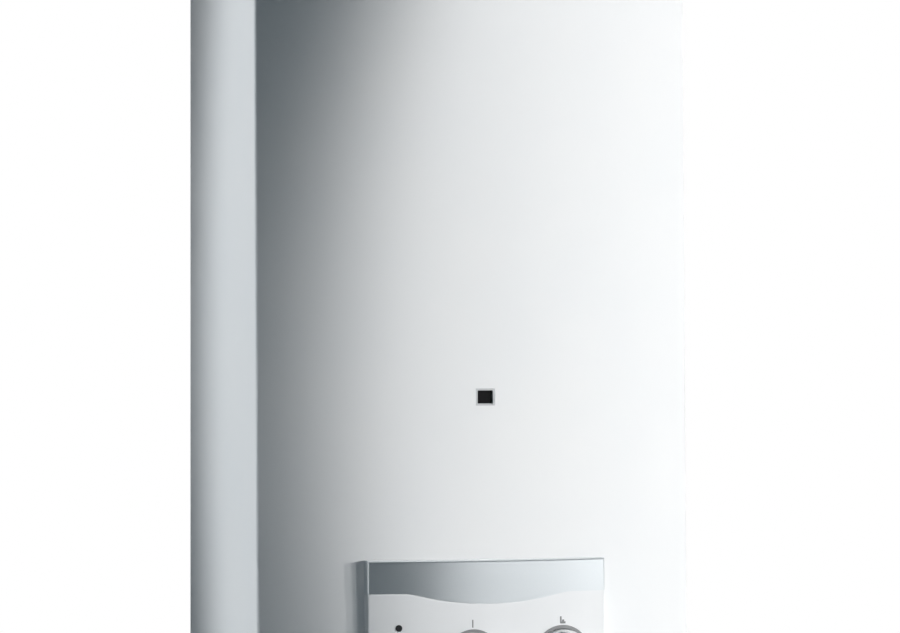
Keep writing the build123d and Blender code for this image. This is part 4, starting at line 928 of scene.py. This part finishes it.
def spot(name, position, target, half_angle, blend, radius, power, colour):
    """A lamp whose edge falls off smoothly across what it lights, kept out of reflections."""
    light = bpy.data.lights.new(name, "SPOT")
    light.color = colour
    light.spot_size = math.radians(2 * half_angle)
    light.spot_blend = blend
    light.shadow_soft_size = radius
    lamp = hang(light, position, target, power)
    lamp.visible_glossy = False


def key_lamp(name, azimuth, power, colour):
    """A front lamp whose soft edge runs down the casing's left part, as in the photo."""
    turn = math.radians(azimuth)
    distance = 4.0
    aside = math.radians(15.0)
    lamp_height = 0.62
    middle = Vector((0.0, -0.22, 0.24))
    edges = [Vector((-0.163, -0.206, 0.24)), Vector((-0.045, -0.231, 0.24))]
    away = Vector((math.sin(turn), -math.cos(turn), 0.0))
    across = Vector((math.cos(turn), math.sin(turn), 0.0))
    outer, inner = [aside - math.atan((edge - middle).dot(across) / distance) for edge in edges]
    blend = (math.cos(inner) - math.cos(outer)) / (1 - math.cos(outer))
    place_at = middle + distance * away
    target = place_at + distance * (math.sin(aside) * across - math.cos(aside) * away)
    place_at.z = lamp_height
    spot(name, place_at, target, math.degrees(outer), blend, 0.03, power, colour)


key_lamp("key_right", 46.0, 211.0, (1.0, 0.972, 0.952))
key_lamp("key_middle", 36.0, 208.0, (1.0, 0.99, 0.982))
key_lamp("key_left", 26.0, 156.0, (1.0, 1.0, 1.0))
spot("side_spot", (-2.72, 1.1, 0.5), (-0.76, -0.94, 0.28), 23.4, 0.22, 0.02, 213.0, (0.95, 0.98, 1.0))
softbox("right_softbox", (1.75, -1.55, 0.45), (0.0, -0.2, 0.3), (1.1, 1.5), 2.6)
softbox("top_softbox", (0.2, -0.4, 2.4), (0.0, -0.1, 0.3), (1.2, 1.2), 3.0)
# Two that only metal and gloss mirror
for mirrored in (
    softbox("mirrored_right", (1.32, -1.95, 0.35), (0.0, -0.23, 0.2), (2.5, 1.3), 13.0),
    softbox("mirrored_left", (-2.0, -1.1, 0.4), (0.0, -0.2, 0.25), (1.5, 1.4), 4.5),
):
    mirrored.visible_diffuse = False


def studio_world():
    """White for what the camera sees, a dim slate fill for what lights the heater."""
    world = bpy.data.worlds.new("studio")
    world.use_nodes = True
    tree = world.node_tree
    tree.nodes.clear()
    out = tree.nodes.new("ShaderNodeOutputWorld")
    fill = tree.nodes.new("ShaderNodeBackground")
    fill.inputs["Color"].default_value = (0.34, 0.74, 1.0, 1.0)
    fill.inputs["Strength"].default_value = 0.046
    white = tree.nodes.new("ShaderNodeBackground")
    white.inputs["Color"].default_value = (1.0, 1.0, 1.0, 1.0)
    white.inputs["Strength"].default_value = 1.0
    rays, seen = seen_share(tree)
    behind = tree.nodes.new("ShaderNodeTexCoord")
    apart = tree.nodes.new("ShaderNodeSeparateXYZ")
    tree.links.new(behind.outputs["Generated"], apart.inputs["Vector"])
    back = tree.nodes.new("ShaderNodeMapRange")
    back.inputs["From Min"].default_value = -0.7
    back.inputs["From Max"].default_value = 0.5
    tree.links.new(apart.outputs["Y"], back.inputs["Value"])
    glossy = tree.nodes.new("ShaderNodeMath")
    glossy.operation = "MULTIPLY"
    tree.links.new(rays.outputs["Is Glossy Ray"], glossy.inputs[0])
    tree.links.new(back.outputs["Result"], glossy.inputs[1])
    share = tree.nodes.new("ShaderNodeMath")
    share.operation = "MAXIMUM"
    tree.links.new(seen, share.inputs[0])
    tree.links.new(glossy.outputs[0], share.inputs[1])
    mix = tree.nodes.new("ShaderNodeMixShader")
    tree.links.new(share.outputs[0], mix.inputs[0])
    tree.links.new(fill.outputs[0], mix.inputs[1])
    tree.links.new(white.outputs[0], mix.inputs[2])
    tree.links.new(mix.outputs[0], out.inputs["Surface"])
    bpy.context.scene.world = world


studio_world()


def photo_camera():
    """The photograph's camera: level, a little to the left of the front's normal."""
    turn = math.radians(16.06)
    distance = 3.153
    middle = Vector((0.0, -0.114, 0.290))
    focal_pixels, photo_width, sensor = 4437, 900, 36.0
    forward = Vector((math.sin(turn), math.cos(turn), 0.0))
    data = bpy.data.cameras.new("photo_camera")
    data.lens = focal_pixels / photo_width * sensor
    data.sensor_width = sensor
    data.shift_x = 0.012
    data.clip_start, data.clip_end = 0.05, 60.0
    camera = bpy.data.objects.new("photo_camera", data)
    camera.location = middle - distance * forward
    camera.rotation_euler = (math.pi / 2, 0.0, -turn)
    bpy.context.scene.collection.objects.link(camera)
    bpy.context.scene.camera = camera


photo_camera()
bpy.context.scene.view_settings.view_transform = "Standard"
